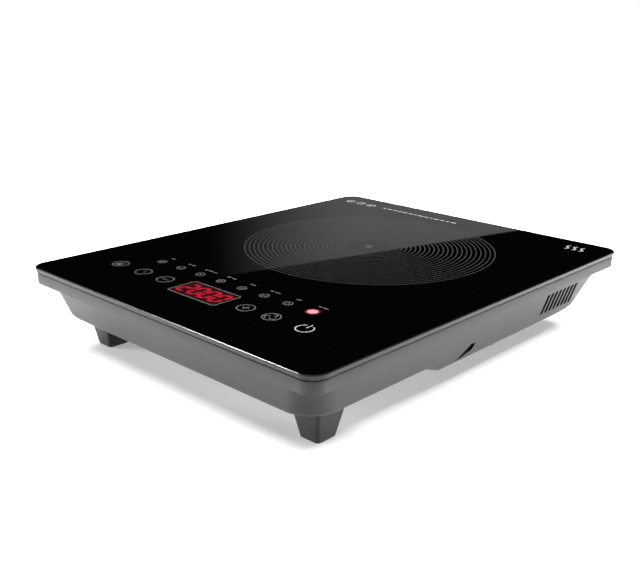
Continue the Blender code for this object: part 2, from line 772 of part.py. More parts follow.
def inside_columns():
    """Screw bosses and board posts that stand on the floor."""
    mesh_data = bmesh.new()
    for x, y in screw_places():
        low = housing_floor_at(y) + WALL / 2
        outline = circle_outline((x, y), BOSS_RADIUS, 12)
        add_rings(mesh_data, [[Vector((a, b, z)) for a, b in outline] for z in (low, BOSS_TOP)])
    for x, y in board_posts():
        outline = circle_outline((x, y), BOARD_POST_RADIUS, 8)
        top = BOARD_BOTTOM - REST_GAP
        levels = (FLOOR_FRONT + WALL / 2, top)
        add_rings(mesh_data, [[Vector((a, b, z)) for a, b in outline] for z in levels])
    return new_object("inside_columns", mesh_data, grey_plastic())


def screw_recesses():
    """Counterbored holes for the housing screws, open underneath."""
    mesh_data = bmesh.new()
    recess = SCREW_HEAD_RADIUS + 2 * REST_GAP
    shank = SCREW_SHANK_RADIUS + REST_GAP
    shoulder = BOSS_TOP - BOSS_HEAD_WALL
    for x, y in screw_places():
        rings = []
        steps = (
            (recess, FLOOR_BACK - WALL),
            (recess, shoulder),
            (shank, shoulder),
            (shank, BOSS_TOP + WALL),
        )
        for radius, z in steps:
            rings.append([Vector((a, b, z)) for a, b in circle_outline((x, y), radius, 12)])
        add_rings(mesh_data, rings)
    return new_object("screw_recesses", mesh_data, grey_plastic())


def lower_housing():
    rim_top = SKIRT_BOTTOM + RIM_THICKNESS
    rim = [(RIM_INSET, z, skirt_radius(RIM_INSET)) for z in (rim_top, SKIRT_BOTTOM)]
    start = [tub_ring(edge, edge) for edge in rim]
    front_top = (WALL_TOP_INSET, SKIRT_BOTTOM, FRONT_CORNER_RADIUS)
    back_top = (WALL_TOP_INSET, SKIRT_BOTTOM, BACK_CORNER_TOP_RADIUS)
    housing = tub_solid("lower_housing", 0, start + [tub_ring(front_top, back_top)])
    combine(housing, feet_solids("feet_outside", 0, PAD_STAND_OUT, WALL / 2), "UNION")
    boss_length = 4 * WALL
    boss_radius = GLAND_BODY_RADIUS + GLAND_BOSS_WALL
    boss = turned(
        "gland_boss", [(boss_radius, -boss_length), (boss_radius, 0)],
        GLAND_CENTRE, grey_plastic(), axis="Y")
    combine(housing, boss, "UNION")
    hollow_top = WALL_TOP_INSET + WALL / math.cos(WALL_TAPER)
    hollow_start = []
    for z in (rim_top + WALL, SKIRT_BOTTOM):
        front_top = (hollow_top, z, FRONT_CORNER_RADIUS - WALL)
        back_top = (hollow_top, z, BACK_CORNER_TOP_RADIUS - WALL)
        hollow_start.append(tub_ring(front_top, back_top))
    combine(housing, tub_solid("hollow", WALL, hollow_start), "DIFFERENCE")
    hollow_low = PAD_STAND_OUT + PAD_SEAT + 2 * WALL
    combine(housing, feet_solids("feet_inside", WALL, hollow_low, 2 * WALL), "DIFFERENCE")
    combine(housing, inside_columns(), "UNION")
    combine(housing, screw_recesses(), "DIFFERENCE")
    combine(housing, wall_vents(), "DIFFERENCE")
    combine(housing, inlet_grille(), "DIFFERENCE")
    combine(housing, scoop_slot(), "DIFFERENCE")
    bore = GLAND_BODY_RADIUS + REST_GAP
    gland_hole = turned(
        "gland_hole", [(bore, -2 * boss_length), (bore, boss_length)],
        GLAND_CENTRE, grey_plastic(), axis="Y")
    combine(housing, gland_hole, "DIFFERENCE")
    seats = [pad_outline(x, y, PAD_MARGIN - REST_GAP) for x, y, floor in foot_places()]
    seat_top = PAD_STAND_OUT + PAD_SEAT + REST_GAP
    return combine(housing, prisms("pad_seats", seats, -PAD_SEAT, seat_top, grey_plastic()), "DIFFERENCE")


def foot_pads():
    names = ("foot_pad_front_left", "foot_pad_front_right", "foot_pad_back_left", "foot_pad_back_right")
    for name, (x, y, floor) in zip(names, foot_places()):
        prisms(name, [pad_outline(x, y, PAD_MARGIN)], 0, PAD_STAND_OUT + PAD_SEAT, rubber())


def housing_screws():
    """Pan head screws in the deep recesses, each with a cross slot."""
    shoulder = BOSS_TOP - BOSS_HEAD_WALL
    for index, (x, y) in enumerate(screw_places(), start=1):
        head_top = -REST_GAP
        head_low = head_top - SCREW_HEAD_HEIGHT
        profile = [
            (SCREW_HEAD_RADIUS * 0.75, head_low),
            (SCREW_HEAD_RADIUS, head_low + SCREW_HEAD_HEIGHT * 0.4),
            (SCREW_HEAD_RADIUS, head_top),
            (SCREW_SHANK_RADIUS, head_top),
            (SCREW_SHANK_RADIUS, head_top + SCREW_LENGTH * 0.9),
            (SCREW_SHANK_RADIUS * 0.4, head_top + SCREW_LENGTH),
        ]
        screw = turned(f"housing_screw_{index}", profile, (x, y, shoulder), steel(), steps=12)
        slot = SCREW_HEAD_RADIUS * 0.6
        thin = SCREW_HEAD_RADIUS * 0.12
        bottom = shoulder + head_low
        arms = [((x - slot, y - thin, bottom - thin), (x + slot, y + thin, bottom + SCREW_HEAD_HEIGHT / 2))]
        combine(screw, boxes(f"screw_slot_{index}", arms, steel()), "DIFFERENCE")


def cord_gland():
    """The bush in the back wall that a supply cord passes through."""
    body = GLAND_BODY_RADIUS
    flange = GLAND_FLANGE_RADIUS
    thick = GLAND_FLANGE_THICKNESS
    profile = [
        (GLAND_BORE_RADIUS, thick + REST_GAP),
        (flange, thick + REST_GAP),
        (flange, REST_GAP),
        (body, REST_GAP),
        (body, thick - GLAND_LENGTH),
        (GLAND_BORE_RADIUS, thick - GLAND_LENGTH),
    ]
    return turned("cord_gland", profile[::-1], GLAND_CENTRE, rubber(), steps=16, closed=True, axis="Y")


def spiral_path():
    """Centre line of the flat coil, from its inner end outward."""
    z = (COIL_TOP + COIL_BOTTOM) / 2
    path = []
    for step in range(COIL_TURNS * COIL_STEPS_PER_TURN + 1):
        turns = step / COIL_STEPS_PER_TURN
        angle = 2 * math.pi * turns - math.pi / 2
        radius = COIL_INNER_RADIUS + COIL_PITCH * turns
        path.append(ZONE_CENTRE + Vector((radius * math.cos(angle), radius * math.sin(angle), z)))
    return path


def induction_coil():
    return ribbon("induction_coil", spiral_path(), COIL_WIRE_WIDTH, COIL_WIRE_HEIGHT, copper())


def sector_outline(inner, outer, start, end, steps=3):
    """Plan outline of a ring's sector round the cooking zone's centre."""
    points = []
    for step in range(steps + 1):
        angle = start + (end - start) * step / steps
        points.append((outer * math.cos(angle), outer * math.sin(angle)))
    for step in range(steps + 1):
        angle = end + (start - end) * step / steps
        points.append((inner * math.cos(angle), inner * math.sin(angle)))
    return [(ZONE_CENTRE.x + x, ZONE_CENTRE.y + y) for x, y in points]


def spoke_angle(index):
    return math.radians(-90) + 2 * math.pi * (index + 0.5) / FORMER_SPOKES


def coil_former():
    """The plastic wheel that carries the coil, on legs that stand on the floor."""
    hub_top = GLASS_UNDERSIDE - GLASS_THICKNESS / 2
    profile = [
        (FORMER_HUB_INNER, FORMER_BOTTOM),
        (FORMER_RADIUS, FORMER_BOTTOM),
        (FORMER_RADIUS, FORMER_TOP),
        (FORMER_HUB_OUTER, FORMER_TOP),
        (FORMER_HUB_OUTER, hub_top),
        (FORMER_HUB_INNER, hub_top),
    ]
    former = turned("coil_former", profile, ZONE_CENTRE, white_plastic(), steps=30, closed=True)
    leg_circle = FORMER_RADIUS - 2 * FORMER_LEG_RADIUS
    legs = bmesh.new()
    for degrees in FORMER_LEG_ANGLES:
        x = ZONE_CENTRE.x + leg_circle * math.cos(math.radians(degrees))
        y = ZONE_CENTRE.y + leg_circle * math.sin(math.radians(degrees))
        outline = circle_outline((x, y), FORMER_LEG_RADIUS, 8)
        low = housing_floor_at(y) + WALL + REST_GAP
        top = FORMER_BOTTOM + FORMER_THICKNESS / 2
        add_rings(legs, [[Vector((a, b, z)) for a, b in outline] for z in (low, top)])
    combine(former, new_object("former_legs", legs, white_plastic()), "UNION")
    windows = []
    gap = math.pi / FORMER_SPOKES - FORMER_SPOKE_ANGLE
    window_outer = FORMER_RADIUS - 4 * FORMER_LEG_RADIUS
    for index in range(FORMER_SPOKES):
        middle = spoke_angle(index) - math.pi / FORMER_SPOKES
        window_inner = FORMER_HUB_OUTER + FORMER_HUB_WALL
        windows.append(sector_outline(window_inner, window_outer, middle - gap, middle + gap))
    low = FORMER_BOTTOM - FORMER_THICKNESS
    high = FORMER_TOP + FORMER_THICKNESS / 2
    return combine(former, prisms("former_windows", windows, low, high, white_plastic()), "DIFFERENCE")


def ferrite_bars():
    """Flat bars under the former's spokes, which guide the coil's field."""
    middle_radius = (COIL_INNER_RADIUS + COIL_OUTER_RADIUS) / 2
    base = FORMER_BOTTOM - REST_GAP - FERRITE_HEIGHT
    for index in range(FORMER_SPOKES):
        angle = spoke_angle(index)
        half_long = FERRITE_LENGTH / 2
        half_wide = FERRITE_WIDTH / 2
        outline = []
        for along, across in ((-half_long, -half_wide), (half_long, -half_wide),
                              (half_long, half_wide), (-half_long, half_wide)):
            radial = middle_radius + along
            outline.append((
                ZONE_CENTRE.x + radial * math.cos(angle) - across * math.sin(angle),
                ZONE_CENTRE.y + radial * math.sin(angle) + across * math.cos(angle)))
        prisms(f"ferrite_bar_{index + 1}", [outline], base, base + FERRITE_HEIGHT, ferrite())


def mica_sheet():
    low = COIL_TOP + REST_GAP
    high = low + MICA_THICKNESS
    inner = FORMER_HUB_OUTER + REST_GAP
    outer = COIL_OUTER_RADIUS + COIL_PITCH / 2
    profile = [(inner, low), (outer, low), (outer, high), (inner, high)]
    return turned("mica_sheet", profile, ZONE_CENTRE, mica(), steps=30, closed=True)


def sensor():
    """The temperature sensor and the soft holder that presses it to the glass."""
    holder_low = FORMER_BOTTOM
    holder_high = GLASS_UNDERSIDE - REST_GAP
    seat = SENSOR_RADIUS + REST_GAP
    bead_low = holder_high - 3 * SENSOR_RADIUS
    profile = [
        (seat, holder_low),
        (SENSOR_HOLDER_RADIUS, holder_low),
        (SENSOR_HOLDER_RADIUS, holder_high - SENSOR_RADIUS),
        (SENSOR_HOLDER_RADIUS - SENSOR_RADIUS, holder_high),
        (seat, holder_high),
    ]
    turned("sensor_holder", profile, ZONE_CENTRE, white_plastic(), steps=20, closed=True)
    bead = [
        (SENSOR_RADIUS * 0.6, bead_low),
        (SENSOR_RADIUS, bead_low + SENSOR_RADIUS * 0.5),
        (SENSOR_RADIUS, holder_high - SENSOR_RADIUS * 0.3),
        (SENSOR_RADIUS * 0.7, holder_high),
    ]
    turned("temperature_sensor", bead, ZONE_CENTRE, epoxy(), steps=12)


def fan_frame():
    """A square frame with a round duct, and a bridge across it that holds the motor."""
    base = FAN_CENTRE.z
    outer = rounded_rectangle(FAN_SIZE, FAN_SIZE, 0.004, base, FAN_CENTRE[:2], 3)
    top = [point + Vector((0, 0, FAN_THICKNESS)) for point in outer]
    frame = loft("fan_frame", [outer, top], dark_plastic())
    duct = prisms(
        "fan_duct", [circle_outline(FAN_CENTRE, FAN_DUCT_RADIUS, 32)],
        base - WALL, base + FAN_THICKNESS + WALL, dark_plastic())
    combine(frame, duct, "DIFFERENCE")
    bridge_height = FAN_WALL * 0.9
    reach = FAN_DUCT_RADIUS + FAN_WALL / 2
    half = FAN_WALL
    lift = FAN_WALL * 0.05
    arms = boxes("fan_bridge", [
        ((FAN_CENTRE.x - reach, FAN_CENTRE.y - half, base + lift),
         (FAN_CENTRE.x + reach, FAN_CENTRE.y + half, base + bridge_height)),
    ], dark_plastic())
    combine(frame, arms, "UNION")
    cross = boxes("fan_bridge_cross", [
        ((FAN_CENTRE.x - half, FAN_CENTRE.y - reach, base + 2 * lift),
         (FAN_CENTRE.x + half, FAN_CENTRE.y + reach, base + bridge_height - lift)),
    ], dark_plastic())
    combine(frame, cross, "UNION")
    plate = prisms(
        "motor_plate", [circle_outline(FAN_CENTRE, FAN_HUB_RADIUS, 24)],
        base, base + FAN_WALL, dark_plastic())
    combine(frame, plate, "UNION")
    bush = FAN_SHAFT_RADIUS + FAN_BEARING_WALL + REST_GAP
    seat = [circle_outline(FAN_CENTRE, bush, 20)]
    hole = prisms("bearing_seat", seat, base - WALL, base + 2 * FAN_WALL, dark_plastic())
    return combine(frame, hole, "DIFFERENCE")


def fan_bearing():
    """A sleeve that the shaft turns in. Its facets clear the round shaft by the running gap."""
    bore = (FAN_SHAFT_RADIUS + RUNNING_GAP) / math.cos(math.pi / 20)
    outer = FAN_SHAFT_RADIUS + FAN_BEARING_WALL
    low = REST_GAP
    high = FAN_THICKNESS * 0.6
    profile = [(bore, low), (outer, low), (outer, high), (bore, high)]
    return turned("fan_bearing", profile, FAN_CENTRE, bronze(), steps=20, closed=True)


def fan_stator():
    """The motor's winding core, round the bearing."""
    inner = FAN_SHAFT_RADIUS + FAN_BEARING_WALL + REST_GAP
    low = FAN_WALL + REST_GAP
    high = FAN_THICKNESS * 0.55
    profile = [(inner, low), (FAN_STATOR_RADIUS, low), (FAN_STATOR_RADIUS, high), (inner, high)]
    core = turned("fan_stator", profile, FAN_CENTRE, steel(), steps=24, closed=True)
    notches = []
    for index in range(4):
        angle = math.pi * (index / 2 + 0.25)
        reach = FAN_STATOR_RADIUS * 0.95
        place = (FAN_CENTRE.x + reach * math.cos(angle), FAN_CENTRE.y + reach * math.sin(angle))
        notches.append(circle_outline(place, FAN_STATOR_RADIUS * 0.3, 8))
    base = FAN_CENTRE.z
    cutter = prisms("stator_notches", notches, base, base + FAN_THICKNESS, steel())
    return combine(core, cutter, "DIFFERENCE")


def fan_blade(mesh_data, angle):
    """One flat blade, pitched about its own length."""
    inner = FAN_HUB_RADIUS * 0.93
    middle_z = FAN_CENTRE.z + FAN_THICKNESS * 0.55
    rings = []
    for radius, chord in ((inner, 0.008), (FAN_TIP_RADIUS * 0.98, 0.014)):
        ring = []
        for across, thick in ((-0.5, -0.5), (0.5, -0.5), (0.5, 0.5), (-0.5, 0.5)):
            run = across * chord
            lift = thick * FAN_BLADE_THICKNESS
            side = run * math.cos(FAN_BLADE_PITCH) - lift * math.sin(FAN_BLADE_PITCH)
            rise = run * math.sin(FAN_BLADE_PITCH) + lift * math.cos(FAN_BLADE_PITCH)
            radial = math.sqrt(radius ** 2 - side ** 2)
            ring.append(Vector((
                FAN_CENTRE.x + radial * math.cos(angle) - side * math.sin(angle),
                FAN_CENTRE.y + radial * math.sin(angle) + side * math.cos(angle),
                middle_z + rise)))
        rings.append(ring)
    add_rings(mesh_data, rings)


def fan_rotor():
    """The hub cup with its shaft and blades. It turns about the vertical axis through the fan's centre."""
    cup_low = FAN_WALL + 2 * REST_GAP
    cup_high = FAN_THICKNESS - REST_GAP
    inside_top = cup_high - FAN_WALL
    inside = FAN_HUB_RADIUS - FAN_WALL
    shaft_low = 2 * REST_GAP
    shaft = FAN_SHAFT_RADIUS
    profile = [
        (shaft * 0.5, shaft_low),
        (shaft, shaft_low + shaft * 0.4),
        (shaft, inside_top),
        (inside, inside_top),
        (inside, cup_low),
        (FAN_HUB_RADIUS, cup_low),
        (FAN_HUB_RADIUS, cup_high - FAN_WALL / 4),
        (FAN_HUB_RADIUS - FAN_WALL / 4, cup_high),
    ]
    rotor = turned("fan_rotor", [(radius, z) for radius, z in profile], (0, 0, 0), dark_plastic(), steps=32)
    rotor.location = FAN_CENTRE
    blades = bmesh.new()
    for index in range(FAN_BLADES):
        fan_blade(blades, 2 * math.pi * index / FAN_BLADES)
    return combine(rotor, new_object("fan_blades", blades, dark_plastic()), "UNION")


def power_board():
    return block(
        "power_board", (BOARD_WIDTH, BOARD_DEPTH, BOARD_THICKNESS),
        (0, BOARD_CENTRE_Y, BOARD_BOTTOM), circuit_board())


def on_board(from_left, from_back):
    """A point on the power board, measured from its left and back edges."""
    return Vector((from_left - BOARD_WIDTH / 2, BOARD_BACK - from_back, PART_SEAT))


def from_board_right(from_right, from_back):
    return on_board(BOARD_WIDTH - from_right, from_back)


def from_board_middle(right_of_middle, from_back):
    return on_board(BOARD_WIDTH / 2 + right_of_middle, from_back)


def heat_sink():
    """An extruded sink at the board's right, with fins up and a solid base."""
    centre = from_board_right(
        HEAT_SINK_LENGTH / 2 + HEAT_SINK_FROM_RIGHT, HEAT_SINK_DEPTH / 2 + HEAT_SINK_FROM_BACK)
    left = centre.x - HEAT_SINK_LENGTH / 2
    front = centre.y - HEAT_SINK_DEPTH / 2
    pitch = (HEAT_SINK_LENGTH - HEAT_SINK_FIN_WIDTH) / (HEAT_SINK_FINS - 1)
    outline = [(left, centre.z), (left + HEAT_SINK_LENGTH, centre.z)]
    for index in reversed(range(HEAT_SINK_FINS)):
        low = left + index * pitch
        high = low + HEAT_SINK_FIN_WIDTH
        foot = centre.z + HEAT_SINK_BASE
        top = centre.z + HEAT_SINK_HEIGHT
        if index < HEAT_SINK_FINS - 1:
            outline.append((high, foot))
        outline += [(high, top), (low, top)]
        if index > 0:
            outline.append((low, foot))
    rings = [[Vector((x, y, z)) for x, z in outline] for y in (front, front + HEAT_SINK_DEPTH)]
    return loft("heat_sink", rings, aluminium())


def switching_parts():
    """The power transistor and the rectifier, upright against the sink's front."""
    sink_front = BOARD_BACK - HEAT_SINK_FROM_BACK - HEAT_SINK_DEPTH
    thick = TAB_PART_THICKNESS
    y = sink_front - REST_GAP - thick / 2
    for name, from_right, width, height in (IGBT, RECTIFIER):
        x = BOARD_WIDTH / 2 - from_right
        body = block(name, (width, thick, height), (x, y, PART_SEAT), epoxy(), 0.0006)
        hole = turned(
            name + "_hole", [(TAB_HOLE_RADIUS, -thick), (TAB_HOLE_RADIUS, thick)],
            (x, y, PART_SEAT + height * 0.78), epoxy(), 12, axis="Y")
        combine(body, hole, "DIFFERENCE")


def capacitors():
    """Film capacitors for resonance, smoothing and the mains filter, and one electrolytic."""
    film = (
        ("resonant_capacitor", RESONANT_CAPACITOR, from_board_middle(TALL_PARTS_X, RESONANT_FROM_BACK)),
        ("smoothing_capacitor", SMOOTHING_CAPACITOR, from_board_middle(TALL_PARTS_X, SMOOTHING_FROM_BACK)),
        ("filter_capacitor", FILTER_CAPACITOR, on_board(FILTER_FROM_LEFT, FILTER_FROM_BACK)),
    )
    for name, size, place in film:
        block(name, size, place, capacitor_yellow(), CAPACITOR_CHAMFER)
    radius = ELECTROLYTIC_RADIUS
    height = ELECTROLYTIC_HEIGHT
    profile = [
        (radius * 0.9, 0),
        (radius, 0.0008),
        (radius, 0.0020),
        (radius * 0.93, 0.0026),
        (radius, 0.0032),
        (radius, height - 0.0006),
        (radius * 0.9, height),
    ]
    place = from_board_middle(ELECTROLYTIC_X, ELECTROLYTIC_FROM_BACK)
    turned("electrolytic_capacitor", profile, place, epoxy(), 20)


def wound_parts():
    """The mains filter choke, a ring on its side, and the small supply transformer."""
    radius = CHOKE_WINDING_RADIUS
    ring = CHOKE_RING_RADIUS
    profile = []
    for step in range(8):
        angle = 2 * math.pi * (step + 0.5) / 8
        profile.append((ring + radius * 0.75 * math.cos(angle), radius * (1 + math.sin(angle)) * 1.08))
    turned("filter_choke", profile, on_board(CHOKE_FROM_LEFT, CHOKE_FROM_BACK), copper(), 24, closed=True)
    place = from_board_middle(TALL_PARTS_X, TRANSFORMER_FROM_BACK)
    transformer = block("transformer", TRANSFORMER_CORE, place, ferrite(), 0.0006)
    lift = Vector((0, 0, (TRANSFORMER_CORE[2] - TRANSFORMER_WINDING[2]) / 2))
    winding = block("transformer_winding", TRANSFORMER_WINDING, place + lift, copper(), 0.0010)
    combine(transformer, winding, "UNION")


def protection_parts():
    """A tube fuse, a disc varistor and the buzzer."""
    cap = FUSE_CAP_RADIUS
    tube = FUSE_TUBE_RADIUS
    half = FUSE_LENGTH / 2
    inner = half * 0.7
    profile = [(cap, -half), (cap, -inner), (tube, -inner), (tube, inner), (cap, inner), (cap, half)]
    fuse_place = on_board(PROTECTION_FROM_LEFT, FUSE_FROM_BACK) + Vector((0, 0, cap + REST_GAP))
    turned("fuse", profile, fuse_place, white_plastic(), 16, axis="X")
    disc = VARISTOR_RADIUS
    thick = VARISTOR_THICKNESS / 2
    profile = [(disc * 0.85, -thick), (disc, -thick * 0.5), (disc, thick * 0.5), (disc * 0.85, thick)]
    disc_place = on_board(PROTECTION_FROM_LEFT, VARISTOR_FROM_BACK) + Vector((0, 0, disc + REST_GAP))
    turned("varistor", profile, disc_place, epoxy(), 20, axis="Y")
    sound = BUZZER_RADIUS
    height = BUZZER_HEIGHT
    profile = [(sound, 0), (sound, height), (sound * 0.3, height), (sound * 0.3, height * 0.7)]
    turned("buzzer", profile, from_board_right(BUZZER_FROM_RIGHT, BUZZER_FROM_BACK), dark_plastic(), 20)


def terminal_block():
    """The block beside the cord outlet where the supply wires end."""
    size = Vector(TERMINAL_BLOCK)
    base = Vector((GLAND_CENTRE.x, GLAND_CENTRE.y - TERMINAL_FROM_GLAND, INSIDE_BACK + REST_GAP))
    made = block("terminal_block", size, base, white_plastic(), 0.0006)
    screws = [
        circle_outline((base.x + offset * size.x / 3, base.y), TERMINAL_WELL_RADIUS, 12)
        for offset in (-1, 0, 1)
    ]
    wells = prisms("terminal_wells", screws, base.z + size.z * 0.55, base.z + size.z * 1.5, white_plastic())
    return combine(made, wells, "DIFFERENCE")


def touch_board():
    depth = TOUCH_BOARD_BACK - TOUCH_BOARD_FRONT
    middle = (TOUCH_BOARD_BACK + TOUCH_BOARD_FRONT) / 2
    base = TOUCH_BOARD_TOP - BOARD_THICKNESS
    size = (TOUCH_BOARD_WIDTH, depth, BOARD_THICKNESS)
    return block("touch_board", size, (0, middle, base), circuit_board())


def touch_springs():
    """Sensing springs between the board and the glass, one under each key."""
    radius = SPRING_RADIUS
    for index, x in enumerate(KEY_X, start=1):
        low = TOUCH_SEAT + SPRING_WIRE / 2
        high = GLASS_UNDERSIDE - REST_GAP - SPRING_WIRE / 2
        path = []
        total = SPRING_TURNS * SPRING_STEPS
        for step in range(total + 1):
            angle = 2 * math.pi * step / SPRING_STEPS
            z = low + (high - low) * step / total
            path.append(Vector((x + radius * math.cos(angle), KEY_ROW + radius * math.sin(angle), z)))
        ribbon(f"touch_spring_{index}", path, SPRING_WIRE, SPRING_WIRE, steel())


def lamp_x(index):
    return LAMP_FIRST_X + index * LAMP_PITCH


def indicator_lamps():
    """The lamp strip on the board, and the opaque bar of wells that keeps each lamp's light apart."""
    strip_low = TOUCH_SEAT
    strip_high = strip_low + LAMP_RADIUS * 0.6
    side = LAMP_RADIUS * 1.2
    first = lamp_x(0) - 2 * side
    last = lamp_x(LAMP_COUNT - 1) + 2 * side
    strip = boxes(
        "lamp_strip", [((first, LAMP_ROW - side, strip_low), (last, LAMP_ROW + side, strip_high))],
        white_plastic())
    lamps = bmesh.new()
    for index in range(LAMP_COUNT):
        outline = circle_outline((lamp_x(index), LAMP_ROW), LAMP_RADIUS, 8)
        tip = circle_outline((lamp_x(index), LAMP_ROW), LAMP_RADIUS * 0.5, 8)
        levels = (
            (outline, strip_low + LAMP_RADIUS * 0.3),
            (outline, strip_low + LAMP_RADIUS),
            (tip, strip_low + 1.6 * LAMP_RADIUS),
        )
        add_rings(lamps, [[Vector((x, y, z)) for x, y in ring] for ring, z in levels])
    combine(strip, new_object("lamp_domes", lamps, white_plastic()), "UNION")
    bar_low = strip_high + 3 * REST_GAP
    bar_high = GLASS_UNDERSIDE - REST_GAP
    bar = boxes(
        "light_guide", [((first, LAMP_ROW - 2 * side, bar_low), (last, LAMP_ROW + 2 * side, bar_high))],
        dark_plastic())
    well = LAMP_RADIUS + 2 * REST_GAP
    wells = [circle_outline((lamp_x(index), LAMP_ROW), well, 8) for index in range(LAMP_COUNT)]
    cutter = prisms("light_wells", wells, bar_low - WALL, bar_high + WALL, dark_plastic())
    return combine(bar, cutter, "DIFFERENCE")


def display_parts():
    """The digit display under the glass, and the controller chip beside it."""
    base = (DISPLAY_X, KEY_ROW, TOUCH_SEAT)
    block("digit_display", (DISPLAY_WIDTH, DISPLAY_DEPTH, DISPLAY_HEIGHT), base, dark_plastic(), 0.0005)
    chip_y = (KEY_ROW + LAMP_ROW) / 2 + 0.001
    block("controller_chip", (0.010, 0.007, 0.0014), (KEY_X[1], chip_y, TOUCH_SEAT), epoxy(), 0.0003)


def coil_leads():
    """The coil's two ends, led down to the power board."""
    path = spiral_path()
    radius = COIL_WIRE_WIDTH * 0.45
    board_y = BOARD_BACK - 0.006
    land = PART_SEAT
    below = FORMER_BOTTOM - FERRITE_HEIGHT - 2 * radius
    start = path[0] + Vector((0, 0, -COIL_WIRE_HEIGHT / 2 - REST_GAP))
    inner = [
        start,
        start + Vector((0, -0.001, -0.004)),
        Vector((start.x, start.y - 0.010, below)),
        Vector((start.x, (start.y + board_y) / 2, below - 0.001)),
        Vector((start.x, board_y + 0.006, below - 0.002)),
        Vector((start.x, board_y, land + 0.005)),
        Vector((start.x, board_y, land)),
    ]
    lead("coil_lead_inner", inner, radius, copper())
    end = path[-1] + Vector((COIL_WIRE_WIDTH * 0.1 + REST_GAP, 0, 0))
    outer = [
        end,
        end + Vector((0.010, 0, 0)),
        end + Vector((0.024, -0.003, -0.001)),
        end + Vector((0.031, -0.010, -0.008)),
        Vector((end.x + 0.031, board_y + 0.010, land + 0.009)),
        Vector((end.x + 0.031, board_y - 0.002, land + 0.006)),
        Vector((end.x + 0.031, board_y - 0.002, land)),
    ]
    lead("coil_lead_outer", outer, radius, copper())


def fan_lead():
    """The fan's supply wire, from the frame's left side to the power board."""
    start = FAN_CENTRE + Vector((-FAN_SIZE / 2 - REST_GAP, -FAN_SIZE / 4, FAN_THICKNESS / 2))
    end = on_board(BOARD_WIDTH / 2 + 0.022, 0.010)
    points = [
        start,
        start + Vector((-0.006, 0, 0)),
        start + Vector((-0.012, -0.010, 0.002)),
        Vector((end.x, (start.y + end.y) / 2, end.z + 0.003)),
        Vector((end.x, end.y + 0.006, end.z + 0.005)),
        Vector((end.x, end.y, end.z + 0.003)),
        end,
    ]
    return lead("fan_lead", points, 0.0009, dark_plastic())


def display_cable():
    """A flat cable from the touch board's back edge down to the power board."""
    x = KEY_X[2]
    start_z = TOUCH_BOARD_TOP - BOARD_THICKNESS / 2
    points = [
        (x, TOUCH_BOARD_BACK + REST_GAP, start_z),
        (x, TOUCH_BOARD_BACK + 0.005, start_z - 0.0005),
        (x, TOUCH_BOARD_BACK + 0.008, start_z - 0.006),
        (x, TOUCH_BOARD_BACK + 0.006, start_z - 0.012),
        (x, TOUCH_BOARD_BACK + 0.005, PART_SEAT),
    ]
    half = Vector((CABLE_WIDTH / 2, 0, 0))
    thickness = CABLE_THICKNESS
    path = catmull_rom(points, 4)
    rings = []
    for index, point in enumerate(path):
        ahead = path[min(index + 1, len(path) - 1)] - path[max(index - 1, 0)]
        normal = Vector((0, -ahead.z, ahead.y)).normalized() * (thickness / 2)
        low = point - normal
        high = point + normal
        rings.append([low - half, low + half, high + half, high - half])
    return loft("display_cable", rings, white_plastic())


def build():
    clear_scene()
    glass_plate()
    glass_seal()
    upper_frame()
    lower_housing()
    foot_pads()
    housing_screws()
    cord_gland()
    induction_coil()
    coil_former()
    ferrite_bars()
    mica_sheet()
    sensor()
    fan_frame()
    fan_bearing()
    fan_stator()
    fan_rotor()
    power_board()
    heat_sink()
    switching_parts()
    capacitors()
    wound_parts()
    protection_parts()
    terminal_block()
    touch_board()
    touch_springs()
    indicator_lamps()
    display_parts()
    coil_leads()
    fan_lead()
    display_cable()


build()
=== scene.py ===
"""Looks of a portable induction cooktop.

A black glass plate with a ground edge and fired prints, a moulded grey frame and
housing with vents, an inlet grille and four feet, a lit display, and the parts inside.
Lengths are metres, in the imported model's frame: X right, Y back, Z up.
"""

import math

import bmesh
import bpy
from mathutils import Matrix, Vector


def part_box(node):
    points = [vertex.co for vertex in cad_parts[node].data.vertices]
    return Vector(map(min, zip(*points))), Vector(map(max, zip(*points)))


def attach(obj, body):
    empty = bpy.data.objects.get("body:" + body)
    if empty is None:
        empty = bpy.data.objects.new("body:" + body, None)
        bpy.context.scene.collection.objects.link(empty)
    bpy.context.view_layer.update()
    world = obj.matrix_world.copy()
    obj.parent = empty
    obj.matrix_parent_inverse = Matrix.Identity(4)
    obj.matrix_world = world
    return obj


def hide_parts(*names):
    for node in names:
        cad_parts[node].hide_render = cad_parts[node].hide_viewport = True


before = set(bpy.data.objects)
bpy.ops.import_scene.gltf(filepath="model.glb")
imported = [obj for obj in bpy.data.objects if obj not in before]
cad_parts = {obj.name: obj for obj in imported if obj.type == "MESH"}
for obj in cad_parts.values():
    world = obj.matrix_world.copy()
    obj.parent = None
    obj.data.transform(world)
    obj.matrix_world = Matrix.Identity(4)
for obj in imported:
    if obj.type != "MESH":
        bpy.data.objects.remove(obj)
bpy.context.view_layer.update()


# ---------------------------------------------------------------- sizes taken from the frame

def middle(node):
    low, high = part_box(node)
    return (low + high) / 2


GLASS_LOW, GLASS_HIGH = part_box("glass_top")
HALF_WIDTH = GLASS_HIGH.x
HALF_DEPTH = GLASS_HIGH.y
GLASS_TOP = GLASS_HIGH.z
GLASS_UNDERSIDE = GLASS_LOW.z
HOUSING_LOW, HOUSING_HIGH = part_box("lower_housing")
ZONE = middle("mica_sheet")
KEYS = [middle(f"touch_spring_{index}") for index in range(1, 7)]
DISPLAY = middle("digit_display")
LAMP_BAR_LOW, LAMP_BAR_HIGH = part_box("light_guide")
FAN_LOW, FAN_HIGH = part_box("fan_frame")
FAN = (FAN_LOW + FAN_HIGH) / 2
PAD_NODES = [f"foot_pad_{end}_{side}" for end in ("front", "back") for side in ("left", "right")]
SCREW_NODES = [f"housing_screw_{index}" for index in range(1, 7)]

